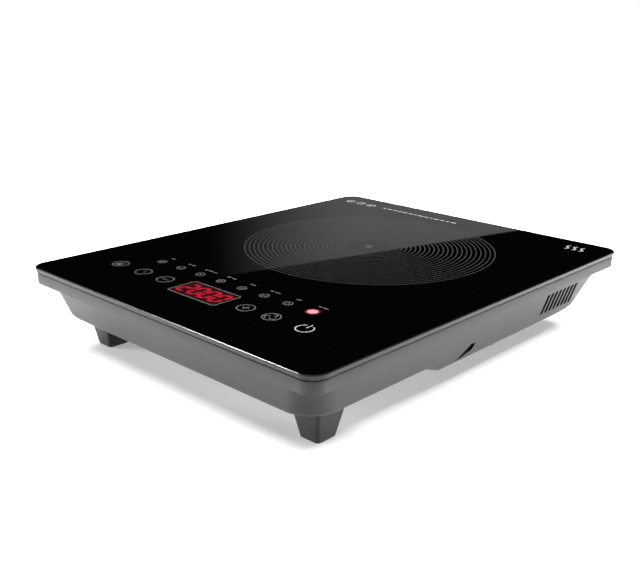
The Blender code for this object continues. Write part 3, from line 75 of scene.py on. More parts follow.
# ---------------------------------------------------------------- sizes of the moulded parts
GLASS_CORNER_RADIUS = 0.0115
GLASS_EDGE_ROUND = 0.0006
REST_GAP = 0.0003
SKIRT_INSET = 0.0010
SKIRT_WALL = 0.0022
SKIRT_TOP = GLASS_TOP - 0.0038
SKIRT_BOTTOM = GLASS_TOP - 0.0120
SKIRT_ROUND = 0.0004
SHELF_INSET = 0.0160
SHELF_TOP = GLASS_UNDERSIDE - 0.0018
SHELF_BOTTOM = SHELF_TOP - 0.0020
RIM_INSET = SKIRT_INSET + SKIRT_WALL + REST_GAP
WALL_TOP_INSET = 0.0066
WALL_TAPER = math.radians(18.2)
WALL = 0.0022
FRONT_CORNER_RADIUS = 0.0205
BACK_CORNER_TOP_RADIUS = 0.0210
BACK_CORNER_BOTTOM_RADIUS = 0.0490
FLOOR_FILLET = 0.0070
FLOOR_FRONT = GLASS_TOP - 0.0375
FLOOR_BACK = GLASS_TOP - 0.0440
RAMP_START = 0.1210 - HALF_DEPTH
RAMP_END = RAMP_START + 0.0170
FOOT_WIDTH = 0.0148
FOOT_DEPTH = 0.0160
FOOT_FLARE = 0.20
FOOT_CORNER_RADIUS = 0.0024
FOOT_BOTTOM = HOUSING_LOW.z
VENT_COUNT = 8
VENT_PITCH = 0.00587
VENT_WIDTH = 0.0038
VENT_TOP = GLASS_TOP - 0.0178
VENT_BOTTOM = GLASS_TOP - 0.0346
FIRST_VENT = HALF_DEPTH - 0.0916
GRILLE_SLOTS = 9
GRILLE_SLOT_WIDTH = 0.0030
GRILLE_RADIUS = (FAN_HIGH.x - FAN_LOW.x) / 2 - 0.0050
SCOOP_START = 0.1515 - HALF_DEPTH
SCOOP_LOW = GLASS_TOP - 0.0410
SCOOP_LENGTH = 0.0172
SCOOP_RISE = 0.0072
SCOOP_WIDTH = 0.0060
BOSS_RADIUS = 0.0062
BOSS_TOP = GLASS_TOP - 0.0180
BOSS_SHOULDER = BOSS_TOP - 0.0080
POST_RADIUS = 0.0042
SCREW_HEAD_RADIUS = 0.0034
SCREW_SHANK_RADIUS = 0.0014
GLAND_BODY_RADIUS = 0.0055
GLAND_BORE_RADIUS = 0.0034
GLAND_SEAT_DEPTH = 0.0023
GLAND_BOSS_WALL = 0.0035
SEAL_WIDTH = 0.0060
SEAL_ROUND = 0.0004
PILOT_DEPTH = 0.0084
PAD_CORNER_RADIUS = 0.0023
PAD_SEAT_CORNER_RADIUS = 0.0024
BOARD_POST_RADIUS = 0.003
BOARD_POST_FROM_SIDE = 0.025
BOARD_POST_FROM_END = 0.005

# ---------------------------------------------------------------- sizes of the prints
PRINT_RISE = 0.000014
PRINT_SINK = 0.00003
ZONE_RADIUS = 0.0973
RING_PITCH = 0.003575
RING_COUNT = 23
RING_WIDTH = 0.00080
KEY_RADIUS = 0.0066
LAMP_MARK_RADIUS = 0.0037
LAMP_COUNT = 8
LAMP_ROW_LENGTH = 0.1586
LAMP_RADIUS = 0.0060
LAMP_CORE_RADIUS = 0.0031
KEY_SPREAD = 1.010
KEY_STROKE = 0.00062
POWER_RADIUS = 0.0057
POWER_STROKE = 0.00092
MODE_STROKE = 0.00064
CAPTION_RISE = 0.0100
CAPTION_GAP = 0.0009
CAPTION_WIDTH = 0.0013
DISPLAY_WIDTH = 0.0448
DISPLAY_DEPTH = 0.0226
DISPLAY_CORNER = 0.0014
DISPLAY_STROKE = 0.0008
DIGIT_WIDTH = 0.0070
DIGIT_HEIGHT = 0.0142
DIGIT_STEP = 0.0106
DIGIT_LEAN = 0.16
DIGIT_BAR = 0.0028
NOTICE_ROW = HALF_DEPTH - 0.0222
NOTICE_START = 0.0190 - HALF_WIDTH
NOTICE_STEP = 0.0125
NOTICE_RADIUS = 0.0038
DASHES_START = 0.0590 - HALF_WIDTH
DASH_COUNT = 14
DASH_WIDTH = 0.0017
DASH_GAP = 0.0012
WAVE_START = HALF_WIDTH - 0.0330
WAVE_STEP = 0.0060
WAVE_HEIGHT = 0.0110
WAVE_SWING = 0.0016
WAVE_STROKE = 0.0017


# ---------------------------------------------------------------- mesh building

def add_rings(mesh_data, rings, joined_ends=False, material=0):
    """Skins a row of point rings with quads, and caps the two ends unless the row closes on itself."""
    rows = [[mesh_data.verts.new(point) for point in ring] for ring in rings]
    pairs = list(zip(rows, rows[1:]))
    if joined_ends:
        pairs.append((rows[-1], rows[0]))
    made = []
    for low, high in pairs:
        for index in range(len(low)):
            after = (index + 1) % len(low)
            made.append(mesh_data.faces.new((low[index], low[after], high[after], high[index])))
    if not joined_ends:
        made.append(mesh_data.faces.new(rows[0]))
        made.append(mesh_data.faces.new(rows[-1]))
    for face in made:
        face.material_index = material
    return rows


def add_column(mesh_data, outline, levels):
    """An upright solid on a plan outline, with a ring at each level."""
    add_rings(mesh_data, [[Vector((x, y, z)) for x, y in outline] for z in levels])

def new_object(name, mesh_data, *materials):
    bmesh.ops.recalc_face_normals(mesh_data, faces=mesh_data.faces)
    mesh = bpy.data.meshes.new(name)
    mesh_data.to_mesh(mesh)
    mesh_data.free()
    for material in materials:
        mesh.materials.append(material)
    made = bpy.data.objects.new(name, mesh)
    bpy.context.scene.collection.objects.link(made)
    return made


def shade_round(made, sharp_degrees=35):
    made.data.shade_smooth()
    made.data.set_sharp_from_angle(angle=math.radians(sharp_degrees))
    return made


def loft(name, rings, *materials, joined_ends=False):
    mesh_data = bmesh.new()
    add_rings(mesh_data, rings, joined_ends)
    return new_object(name, mesh_data, *materials)


def combine(target, tool, operation):
    """Adds a Boolean. The tool goes when the target is settled."""
    tool.hide_render = True
    tool.display_type = "WIRE"
    modifier = target.modifiers.new(tool.name, "BOOLEAN")
    modifier.operation = operation
    modifier.object = tool


def settle(made):
    """Turns the modifiers into plain mesh and removes the tools that they used."""
    tools = [modifier.object for modifier in made.modifiers if modifier.type == "BOOLEAN"]
    bpy.context.view_layer.update()
    graph = bpy.context.evaluated_depsgraph_get()
    mesh = bpy.data.meshes.new_from_object(made.evaluated_get(graph), depsgraph=graph)
    made.modifiers.clear()
    made.data = mesh
    for tool in tools:
        bpy.data.objects.remove(tool, do_unlink=True)
    return made


def corner_arc(centre_x, centre_y, radius, start_degrees, steps):
    """Points of a quarter circle, anticlockwise from its start."""
    points = []
    for step in range(steps + 1):
        angle = math.radians(start_degrees + 90 * step / steps)
        points.append((centre_x + radius * math.cos(angle), centre_y + radius * math.sin(angle)))
    return points


def rounded_outline(width, depth, radius, centre=(0, 0), steps=16):
    """Plan points round a rectangle with rounded corners."""
    across = width / 2 - radius
    along = depth / 2 - radius
    points = []
    for side, end, start in ((1, -1, -90), (1, 1, 0), (-1, 1, 90), (-1, -1, 180)):
        points += corner_arc(side * across, end * along, radius, start, steps)
    return [(centre[0] + x, centre[1] + y) for x, y in points]

def rounded_rectangle(width, depth, radius, z, centre=(0, 0), steps=16):
    """A level ring of points round a rectangle with rounded corners."""
    return [Vector((x, y, z)) for x, y in rounded_outline(width, depth, radius, centre, steps)]

def plan_ring(inset, z, radius):
    """A ring round the cooktop at a distance inside the glass edge."""
    return rounded_rectangle(2 * (HALF_WIDTH - inset), 2 * (HALF_DEPTH - inset), radius, z)


def skirt_radius(inset):
    return max(GLASS_CORNER_RADIUS - inset, 0.002)


def rounded_section(points, radius, steps=3):
    """Rounds each corner of a closed (inset, height) section whose radius is above zero."""
    made = []
    count = len(points)
    for index, (point, size) in enumerate(zip(points, radius)):
        here = Vector(point)
        if not size:
            made.append((here.x, here.y))
            continue
        before = (Vector(points[index - 1]) - here).normalized()
        after = (Vector(points[(index + 1) % count]) - here).normalized()
        start = here + before * size
        end = here + after * size
        for step in range(steps + 1):
            t = step / steps
            spot = start * (1 - t) ** 2 + here * 2 * t * (1 - t) + end * t ** 2
            made.append((spot.x, spot.y))
    return made


def circle_outline(centre, radius, steps=32):
    return [
        (centre[0] + radius * math.cos(2 * math.pi * step / steps),
         centre[1] + radius * math.sin(2 * math.pi * step / steps))
        for step in range(steps)
    ]


def turned(name, profile, centre, material, steps=48, closed=False, axis="Z"):
    """Turns (radius, height) points about an axis through the centre. A closed profile makes a ring."""
    mesh_data = bmesh.new()
    rings = []
    for radius, height in profile:
        rings.append([Vector((x, y, height)) for x, y in circle_outline((0, 0), radius, steps)])
    add_rings(mesh_data, rings, closed)
    turn = Matrix.Rotation(-math.pi / 2, 4, "X") if axis == "Y" else Matrix.Identity(4)
    bmesh.ops.transform(mesh_data, matrix=Matrix.Translation(centre) @ turn, verts=mesh_data.verts)
    return shade_round(new_object(name, mesh_data, material))


def boxes(name, corner_pairs, material):
    mesh_data = bmesh.new()
    for low, high in corner_pairs:
        plan = ((low[0], low[1]), (high[0], low[1]), (high[0], high[1]), (low[0], high[1]))
        add_column(mesh_data, plan, (low[2], high[2]))
    return new_object(name, mesh_data, material)


def prisms(name, outlines, low_z, high_z, material):
    """Upright prisms on plan outlines, in one mesh."""
    mesh_data = bmesh.new()
    for outline in outlines:
        add_column(mesh_data, outline, (low_z, high_z))
    return new_object(name, mesh_data, material)


# ---------------------------------------------------------------- materials

# The part of its range that a noise texture mostly fills.
NOISE_LOW = 0.35
NOISE_HIGH = 0.65

def shader_of(name, colour, roughness, metallic=0.0):
    """A new material and its Principled shader."""
    made = bpy.data.materials.new(name)
    made.use_nodes = True
    shader = made.node_tree.nodes["Principled BSDF"]
    shader.inputs["Base Color"].default_value = (*colour, 1.0)
    shader.inputs["Roughness"].default_value = roughness
    shader.inputs["Metallic"].default_value = metallic
    return made, shader

def noise(shader, scale, detail=2.0, stretch=(1, 1, 1)):
    """A noise texture on object coordinates, with its features per metre and a stretch on each axis."""
    tree = shader.id_data
    place = tree.nodes.new("ShaderNodeTexCoord")
    mapping = tree.nodes.new("ShaderNodeMapping")
    mapping.inputs["Scale"].default_value = stretch
    texture = tree.nodes.new("ShaderNodeTexNoise")
    texture.inputs["Scale"].default_value = scale
    texture.inputs["Detail"].default_value = detail
    tree.links.new(place.outputs["Object"], mapping.inputs["Vector"])
    tree.links.new(mapping.outputs["Vector"], texture.inputs["Vector"])
    return texture.outputs["Fac"]

def spread(shader, value, low, high):
    """Maps a noise onto a range of numbers."""
    ramp = shader.id_data.nodes.new("ShaderNodeMapRange")
    ramp.inputs["From Min"].default_value = NOISE_LOW
    ramp.inputs["From Max"].default_value = NOISE_HIGH
    ramp.inputs["To Min"].default_value = low
    ramp.inputs["To Max"].default_value = high
    shader.id_data.links.new(value, ramp.inputs["Value"])
    return ramp.outputs["Result"]

def tinted(shader, value, dark, light, start=NOISE_LOW, end=NOISE_HIGH):
    """Maps a 0 to 1 value onto a range between two colours."""
    ramp = shader.id_data.nodes.new("ShaderNodeValToRGB")
    for stop, position, colour in zip(ramp.color_ramp.elements, (start, end), (dark, light)):
        stop.position = position
        stop.color = (*colour, 1.0)
    shader.id_data.links.new(value, ramp.inputs["Fac"])
    return ramp.outputs["Color"]

def textured(shader, tint, colours, rough, roughness, relief, depth):
    """Drives a shader's colour, roughness and relief, each from a 0 to 1 value."""
    links = shader.id_data.links
    links.new(tinted(shader, tint, *colours), shader.inputs["Base Color"])
    links.new(spread(shader, rough, *roughness), shader.inputs["Roughness"])
    bump = shader.id_data.nodes.new("ShaderNodeBump")
    bump.inputs["Distance"].default_value = depth
    bump.inputs["Strength"].default_value = 1.0
    links.new(relief, bump.inputs["Height"])
    links.new(bump.outputs["Normal"], shader.inputs["Normal"])

def shaded(colour, factor):
    return tuple(channel * factor for channel in colour)

def moulded(name, colour, roughness, grain=1400, depth=0.00001, swing=0.06, specular=0.5):
    """A moulded or coated surface: fine grain in the relief, soft variation in colour and roughness."""
    made, shader = shader_of(name, colour, roughness)
    shader.inputs["Specular IOR Level"].default_value = specular
    fine = noise(shader, grain, 3.0)
    colours = (shaded(colour, 1 - swing), shaded(colour, 1 + swing))
    textured(shader, noise(shader, 38), colours, fine, (roughness - 0.05, roughness + 0.05), fine, depth)
    return made

def brushed(name, colour, roughness, stretch):
    """Metal with fine lines along one axis."""
    made, shader = shader_of(name, colour, roughness, 1.0)
    lines = noise(shader, 2600, 2.0, stretch)
    colours = (shaded(colour, 0.82), shaded(colour, 1.08))
    textured(shader, lines, colours, lines, (roughness - 0.06, roughness + 0.08), lines, 0.000004)
    return made

def black_glass():
    """Polished black ceramic glass with a faint cloud of lighter specks fired into it."""
    made, shader = shader_of("black_glass_look", (0.0006, 0.0006, 0.00065), 0.016)
    specks = noise(shader, 900)
    colours = ((0.0002, 0.0002, 0.0002), (0.0012, 0.0012, 0.0012), 0.55, 0.80)
    textured(shader, specks, colours, noise(shader, 26), (0.012, 0.020), specks, 0.0000006)
    return made

def ground_glass():
    """The ground edge of the plate, with faint lines from the grinding wheel."""
    colour = (0.007, 0.007, 0.0069)
    made, shader = shader_of("ground_glass_look", colour, 0.18)
    shader.inputs["Specular IOR Level"].default_value = 0.22
    lines = noise(shader, 700, 3.0, (1, 1, 6))
    colours = (shaded(colour, 0.85), shaded(colour, 1.15))
    textured(shader, lines, colours, lines, (0.10, 0.26), lines, 0.000003)
    return made

def print_ink(name, colour):
    """Fired enamel on the glass: a thin glossy layer with a slightly uneven density."""
    made, shader = shader_of(name, colour, 0.12)
    shader.inputs["IOR"].default_value = 1.8
    density = noise(shader, 2400)
    colours = (shaded(colour, 0.8), shaded(colour, 1.15))
    textured(shader, density, colours, density, (0.08, 0.18), density, 0.000001)
    return made

def lit_red(name, colour):
    """A lit segment, a little uneven along its length."""
    made, shader = shader_of(name, shaded(colour, 0.06), 0.3)
    glow = tinted(shader, noise(shader, 500, 1.0), shaded(colour, 0.8), colour)
    made.node_tree.links.new(glow, shader.inputs["Emission Color"])
    shader.inputs["Emission Strength"].default_value = 1.0
    return made

def lamp_glow(name, centre, core, halo, core_radius, radius):
    """A round light seen through the glass: a pale core that falls off into a coloured halo."""
    made, shader = shader_of(name, (0.0012, 0.0012, 0.0013), 0.05)
    nodes = made.node_tree.nodes
    links = made.node_tree.links
    place = nodes.new("ShaderNodeTexCoord")
    away = nodes.new("ShaderNodeVectorMath")
    away.operation = "DISTANCE"
    away.inputs[1].default_value = centre
    links.new(place.outputs["Object"], away.inputs[0])
    ramp = nodes.new("ShaderNodeValToRGB")
    ramp.color_ramp.interpolation = "EASE"
    stops = ramp.color_ramp.elements
    stops[0].position = 0.0
    stops[0].color = (*core, 1.0)
    stops[1].position = 1.0
    stops[1].color = (0, 0, 0, 1)
    for position, colour in ((core_radius / radius, core), (1.35 * core_radius / radius, halo)):
        stop = stops.new(position)
        stop.color = (*colour, 1.0)
    share = nodes.new("ShaderNodeMapRange")
    share.inputs["From Max"].default_value = radius
    links.new(away.outputs["Value"], share.inputs["Value"])
    links.new(share.outputs["Result"], ramp.inputs["Fac"])
    links.new(ramp.outputs["Color"], shader.inputs["Emission Color"])
    shader.inputs["Emission Strength"].default_value = 1.0
    return made

LOOKS = {
    "black_glass": black_glass(),
    "grey_plastic": moulded("grey_plastic_look", (0.043, 0.0417, 0.0405), 0.46, specular=0.20),
    "dark_plastic": moulded("dark_plastic_look", (0.022, 0.022, 0.023), 0.42),
    "white_plastic": moulded("white_plastic_look", (0.70, 0.69, 0.65), 0.42, 900),
    "rubber": moulded("rubber_look", (0.018, 0.018, 0.018), 0.75, 1800, 0.00002),
    "copper": brushed("copper_look", (0.72, 0.33, 0.16), 0.32, (1, 1, 4)),
    "bronze": brushed("bronze_look", (0.58, 0.38, 0.19), 0.36, (1, 1, 5)),
    "steel": brushed("steel_look", (0.58, 0.58, 0.59), 0.28, (1, 1, 6)),
    "aluminium": brushed("aluminium_look", (0.74, 0.74, 0.76), 0.34, (6, 0.4, 1)),
    "circuit_board": moulded("circuit_board_look", (0.035, 0.16, 0.06), 0.38, 600, 0.00001, 0.18),
    "ferrite": moulded("ferrite_look", (0.035, 0.035, 0.04), 0.6, 2200, 0.00002),
    "mica": moulded("mica_look", (0.62, 0.57, 0.44), 0.36, 420, 0.00002, 0.12),
    "epoxy": moulded("epoxy_look", (0.018, 0.018, 0.020), 0.32, 1600),
    "capacitor_yellow": moulded("capacitor_yellow_look", (0.62, 0.42, 0.05), 0.32, 1200),
}
GREY = LOOKS["grey_plastic"]
EDGE = ground_glass()
RING_INK = print_ink("ring_ink", (0.015, 0.015, 0.0148))
KEY_INK = print_ink("key_ink", (0.048, 0.048, 0.0475))
BRIGHT_INK = print_ink("bright_ink", (0.15, 0.15, 0.148))
DIM_INK = print_ink("dim_ink", (0.050, 0.050, 0.0495))
NOTICE_INK = print_ink("notice_ink", (0.21, 0.21, 0.208))
SMOKED = print_ink("smoked_window", (0.010, 0.0012, 0.0020))
DIGIT_RED = lit_red("digit_red", (0.42, 0.006, 0.020))


# ---------------------------------------------------------------- glass and frame

def glass_plate():
    """The plate with a polished face and a ground, rounded edge."""
    mesh_data = bmesh.new()
    rings = []
    steps = 5
    for end, level in ((-1, GLASS_UNDERSIDE), (1, GLASS_TOP)):
        for step in range(steps + 1):
            share = step / steps if end < 0 else 1 - step / steps
            angle = math.pi / 2 * share
            inset = GLASS_EDGE_ROUND * (1 - math.sin(angle))
            z = level - end * GLASS_EDGE_ROUND * (1 - math.cos(angle))
            rings.append(plan_ring(inset, z, GLASS_CORNER_RADIUS - inset))
    add_rings(mesh_data, rings, material=1)
    made = new_object("glass_plate", mesh_data, LOOKS["black_glass"], EDGE)
    for face in made.data.polygons:
        if abs(face.normal.z) > 0.999:
            face.material_index = 0
    shade_round(made, 80)
    made.modifiers.new("even", "WEIGHTED_NORMAL")
    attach(made, "housing")
    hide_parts("glass_top")


def seal():
    """The soft bead that the plate lies on."""
    low = SHELF_TOP + REST_GAP
    high = GLASS_UNDERSIDE - REST_GAP
    outer = RIM_INSET
    inner = RIM_INSET + SEAL_WIDTH
    corners = [(outer, low), (outer, high), (inner, high), (inner, low)]
    section = rounded_section(corners, [SEAL_ROUND] * 4)
    rings = [plan_ring(inset, z, skirt_radius(inset)) for inset, z in section]
    made = shade_round(loft("glass_bead", rings, LOOKS["rubber"], joined_ends=True), 60)
    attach(made, "housing")
    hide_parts("glass_seal")


def ear_outline(x, y):
    """A tab that reaches from the shelf to a screw post."""
    reach = POST_RADIUS * 1.5
    middle_inset = (SHELF_INSET + RIM_INSET) / 2
    if HALF_DEPTH + y < HALF_WIDTH - abs(x):
        low_x, high_x = x - reach, x + reach
        low_y, high_y = middle_inset - HALF_DEPTH, y + reach
    else:
        low_x, high_x = sorted((math.copysign(HALF_WIDTH - middle_inset, x), x - math.copysign(reach, x)))
        low_y, high_y = y - reach, y + reach
    return [(low_x, low_y), (high_x, low_y), (high_x, high_y), (low_x, high_y)]


def frame_skirt():
    """The frame: a skirt with softened edges, the shelf inside it, and the screw posts."""
    inner_face = SKIRT_INSET + SKIRT_WALL
    corners = [
        (SKIRT_INSET, SKIRT_BOTTOM),
        (SKIRT_INSET, SKIRT_TOP),
        (inner_face, SKIRT_TOP),
        (inner_face, SHELF_TOP),
        (SHELF_INSET, SHELF_TOP),
        (SHELF_INSET, SHELF_BOTTOM),
        (inner_face, SHELF_BOTTOM),
        (inner_face, SKIRT_BOTTOM),
    ]
    section = rounded_section(corners, [SKIRT_ROUND, SKIRT_ROUND, 0.0002, 0, 0.0003, 0.0003, 0, 0.0002])
    rings = [plan_ring(inset, z, skirt_radius(inset)) for inset, z in section]
    made = loft("frame_skirt", rings, GREY, joined_ends=True)
    lift = (SHELF_TOP - SHELF_BOTTOM) / 4
    places = [middle(node) for node in SCREW_NODES]
    ears = [ear_outline(place.x, place.y) for place in places]
    combine(made, prisms("skirt_ears", ears, SHELF_BOTTOM + lift, SHELF_TOP - lift, GREY), "UNION")
    posts = [circle_outline(place, POST_RADIUS, 24) for place in places]
    post_low = BOSS_TOP + REST_GAP
    post_high = SHELF_TOP - 2 * lift
    combine(made, prisms("skirt_posts", posts, post_low, post_high, GREY), "UNION")
    pilots = [circle_outline(place, SCREW_SHANK_RADIUS + REST_GAP, 16) for place in places]
    pilot_top = BOSS_TOP + PILOT_DEPTH
    combine(made, prisms("skirt_pilots", pilots, BOSS_TOP - WALL, pilot_top, GREY), "DIFFERENCE")
    shade_round(settle(made), 40)
    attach(made, "housing")
    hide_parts("upper_frame")


# ---------------------------------------------------------------- housing

CORNER_STEPS = 20
FILLET_STEPS = 12


def tub_ring(front, back):
    """A ring round the tub. Front and back corners each have an (inset, z, corner radius)."""
    ring = []
    corners = ((1, -1, -90, front), (1, 1, 0, back), (-1, 1, 90, back), (-1, -1, 180, front))
    for side, end, start, (inset, z, radius) in corners:
        across = side * (HALF_WIDTH - inset - radius)
        along = end * (HALF_DEPTH - inset - radius)
        arc = [Vector((x, y, z)) for x, y in corner_arc(across, along, radius, start, CORNER_STEPS)]
        ramp = [
            Vector((side * (HALF_WIDTH - front[0]), RAMP_START, front[1])),
            Vector((side * (HALF_WIDTH - back[0]), RAMP_END, back[1])),
        ]
        if (side, end) == (1, 1):
            ring += ramp + arc
        elif (side, end) == (-1, -1):
            ring += ramp[::-1] + arc
        else:
            ring += arc
    return ring


def wall_point(angle, floor_z, thickness):
    """(inset, z) on the fillet between the wall and a floor, inside by the given thickness."""
    radius = FLOOR_FILLET - thickness
    top_inset = WALL_TOP_INSET + thickness / math.cos(WALL_TAPER)
    centre_z = floor_z + FLOOR_FILLET
    tangent_drop = SKIRT_BOTTOM - centre_z + radius * math.sin(WALL_TAPER)
    centre_inset = top_inset + tangent_drop * math.tan(WALL_TAPER) + radius * math.cos(WALL_TAPER)
    return centre_inset - radius * math.cos(angle), centre_z - radius * math.sin(angle)


def tub_solid(name, thickness, start_rings):
    """The tub's outer form, or its hollow when a wall thickness is given."""
    rings = list(start_rings)
    radius_growth = BACK_CORNER_BOTTOM_RADIUS - BACK_CORNER_TOP_RADIUS
    for step in range(FILLET_STEPS + 1):
        share = step / FILLET_STEPS
        angle = WALL_TAPER + (math.pi / 2 - WALL_TAPER) * share
        back_radius = BACK_CORNER_TOP_RADIUS + radius_growth * (2 + 4 * share) / 6
        front = (*wall_point(angle, FLOOR_FRONT, thickness), FRONT_CORNER_RADIUS - thickness)
        back = (*wall_point(angle, FLOOR_BACK, thickness), back_radius - thickness)
        rings.append(tub_ring(front, back))
    mesh_data = bmesh.new()
    rows = [[mesh_data.verts.new(point) for point in ring] for ring in rings]
    for high, low in zip(rows, rows[1:]):
        for index in range(len(high)):
            after = (index + 1) % len(high)
            mesh_data.faces.new((high[index], high[after], low[after], low[index]))
    mesh_data.faces.new(rows[0])
    corner = CORNER_STEPS + 1
    right_start, right_end = corner, corner + 1
    left_end, left_start = 3 * corner + 2, 3 * corner + 3
    floor = rows[-1]
    mesh_data.faces.new(floor[:right_start + 1] + floor[left_start:])
    mesh_data.faces.new((floor[right_start], floor[right_end], floor[left_end], floor[left_start]))
    mesh_data.faces.new(floor[right_end:left_end + 1])
    return new_object(name, mesh_data, GREY)


def floor_at(y):
    share = min(max((y - RAMP_START) / (RAMP_END - RAMP_START), 0), 1)
    return FLOOR_FRONT + (FLOOR_BACK - FLOOR_FRONT) * share


def feet(name, thickness, low, above_floor):
    """Feet that widen upward, with a rounded lower edge on the outer form."""
    mesh_data = bmesh.new()
    for node in PAD_NODES:
        place = middle(node)
        top = floor_at(place.y) + above_floor
        levels = [(low, 0), (top, 0)]
        if not thickness:
            edge = 0.0008
            turns = [math.pi / 2 * step / 4 for step in range(5)]
            levels = [
                (low + edge * (1 - math.sin(turn)), edge * (1 - math.cos(turn)))
                for turn in turns[::-1]
            ]
            levels += [(top, 0)]
        rings = []
        for z, inset in levels:
            grow = 2 * FOOT_FLARE * z - 2 * thickness - 2 * inset
            radius = FOOT_CORNER_RADIUS - thickness / 2 - inset / 2
            rings.append(rounded_rectangle(FOOT_WIDTH + grow, FOOT_DEPTH + grow, radius, z, place, 8))
        add_rings(mesh_data, rings)
    return new_object(name, mesh_data, GREY)


def inside_columns():
    """Screw bosses and board posts that stand on the floor."""
    mesh_data = bmesh.new()
    for node in SCREW_NODES:
        place = middle(node)
        outline = circle_outline(place, BOSS_RADIUS, 32)
        levels = (floor_at(place.y) + WALL / 2, BOSS_TOP)
        add_column(mesh_data, outline, levels)
    board_low, board_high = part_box("power_board")
    for x in (board_low.x + BOARD_POST_FROM_SIDE, board_high.x - BOARD_POST_FROM_SIDE):
        for y in (board_low.y + BOARD_POST_FROM_END, board_high.y - BOARD_POST_FROM_END):
            outline = circle_outline((x, y), BOARD_POST_RADIUS, 20)
            levels = (FLOOR_FRONT + WALL / 2, board_low.z - REST_GAP)
            add_column(mesh_data, outline, levels)
    return new_object("inside_columns", mesh_data, GREY)


def screw_recesses():
    """Counterbored holes for the housing screws, with a chamfered mouth underneath."""
    mesh_data = bmesh.new()
    recess = SCREW_HEAD_RADIUS + 2 * REST_GAP
    shank = SCREW_SHANK_RADIUS + REST_GAP
    for node in SCREW_NODES:
        place = middle(node)
        floor = floor_at(place.y)
        lip = 0.0005
        profile = (
            (recess + lip + WALL, floor - WALL),
            (recess, floor + lip),
            (recess, BOSS_SHOULDER),
            (shank, BOSS_SHOULDER),
            (shank, BOSS_TOP + WALL),
        )
        rings = [[Vector((x, y, z)) for x, y in circle_outline(place, radius, 32)] for radius, z in profile]
        add_rings(mesh_data, rings)
    return new_object("screw_recesses", mesh_data, GREY)


def wall_vents():
    """Slots in both side walls near the back."""
    pairs = []
    wall_x = HALF_WIDTH - WALL_TOP_INSET
    reach = (SKIRT_BOTTOM - VENT_BOTTOM) * math.tan(WALL_TAPER) + 3 * WALL
    for index in range(VENT_COUNT):
        y = FIRST_VENT + index * VENT_PITCH
        for side in (-1, 1):
            low_x, high_x = sorted((side * (wall_x - reach), side * (wall_x + WALL)))
            pairs.append(((low_x, y - VENT_WIDTH / 2, VENT_BOTTOM), (high_x, y + VENT_WIDTH / 2, VENT_TOP)))
    return boxes("wall_vents", pairs, GREY)


def inlet_grille():
    """Slots through the floor under the fan, cut to a circle."""
    pairs = []
    pitch = 2 * GRILLE_RADIUS / GRILLE_SLOTS
    bridge = 0.0020
    for index in range(GRILLE_SLOTS):
        offset = (index - (GRILLE_SLOTS - 1) / 2) * pitch
        half = math.sqrt(GRILLE_RADIUS ** 2 - (abs(offset) + GRILLE_SLOT_WIDTH / 2) ** 2)
        for low_x, high_x in ((-half, -bridge), (bridge, half)):
            low = (FAN.x + low_x, FAN.y + offset - GRILLE_SLOT_WIDTH / 2, FLOOR_BACK - WALL)
            pairs.append((low, (FAN.x + high_x, low[1] + GRILLE_SLOT_WIDTH, FLOOR_BACK + 2 * WALL)))
    return boxes("inlet_grille", pairs, GREY)


def scoop_slot():
    """A thin slot that climbs the right wall's lower edge towards the back, widening as it goes."""
    end = SCOOP_START + SCOOP_LENGTH
    top = SCOOP_LOW + SCOOP_RISE
    section = [
        (SCOOP_START, SCOOP_LOW),
        (end, top - SCOOP_WIDTH / 2),
        (end + SCOOP_WIDTH / 3, top + SCOOP_WIDTH / 3),
        (end - SCOOP_WIDTH / 2, top + SCOOP_WIDTH / 2),
    ]
    outer_x = HALF_WIDTH - WALL_TOP_INSET
    inner_x = outer_x - (SKIRT_BOTTOM - SCOOP_LOW) * math.tan(WALL_TAPER) - 2.5 * WALL
    rings = [[Vector((x, y, z)) for y, z in section] for x in (inner_x, outer_x)]
    return loft("scoop_slot", rings, GREY)


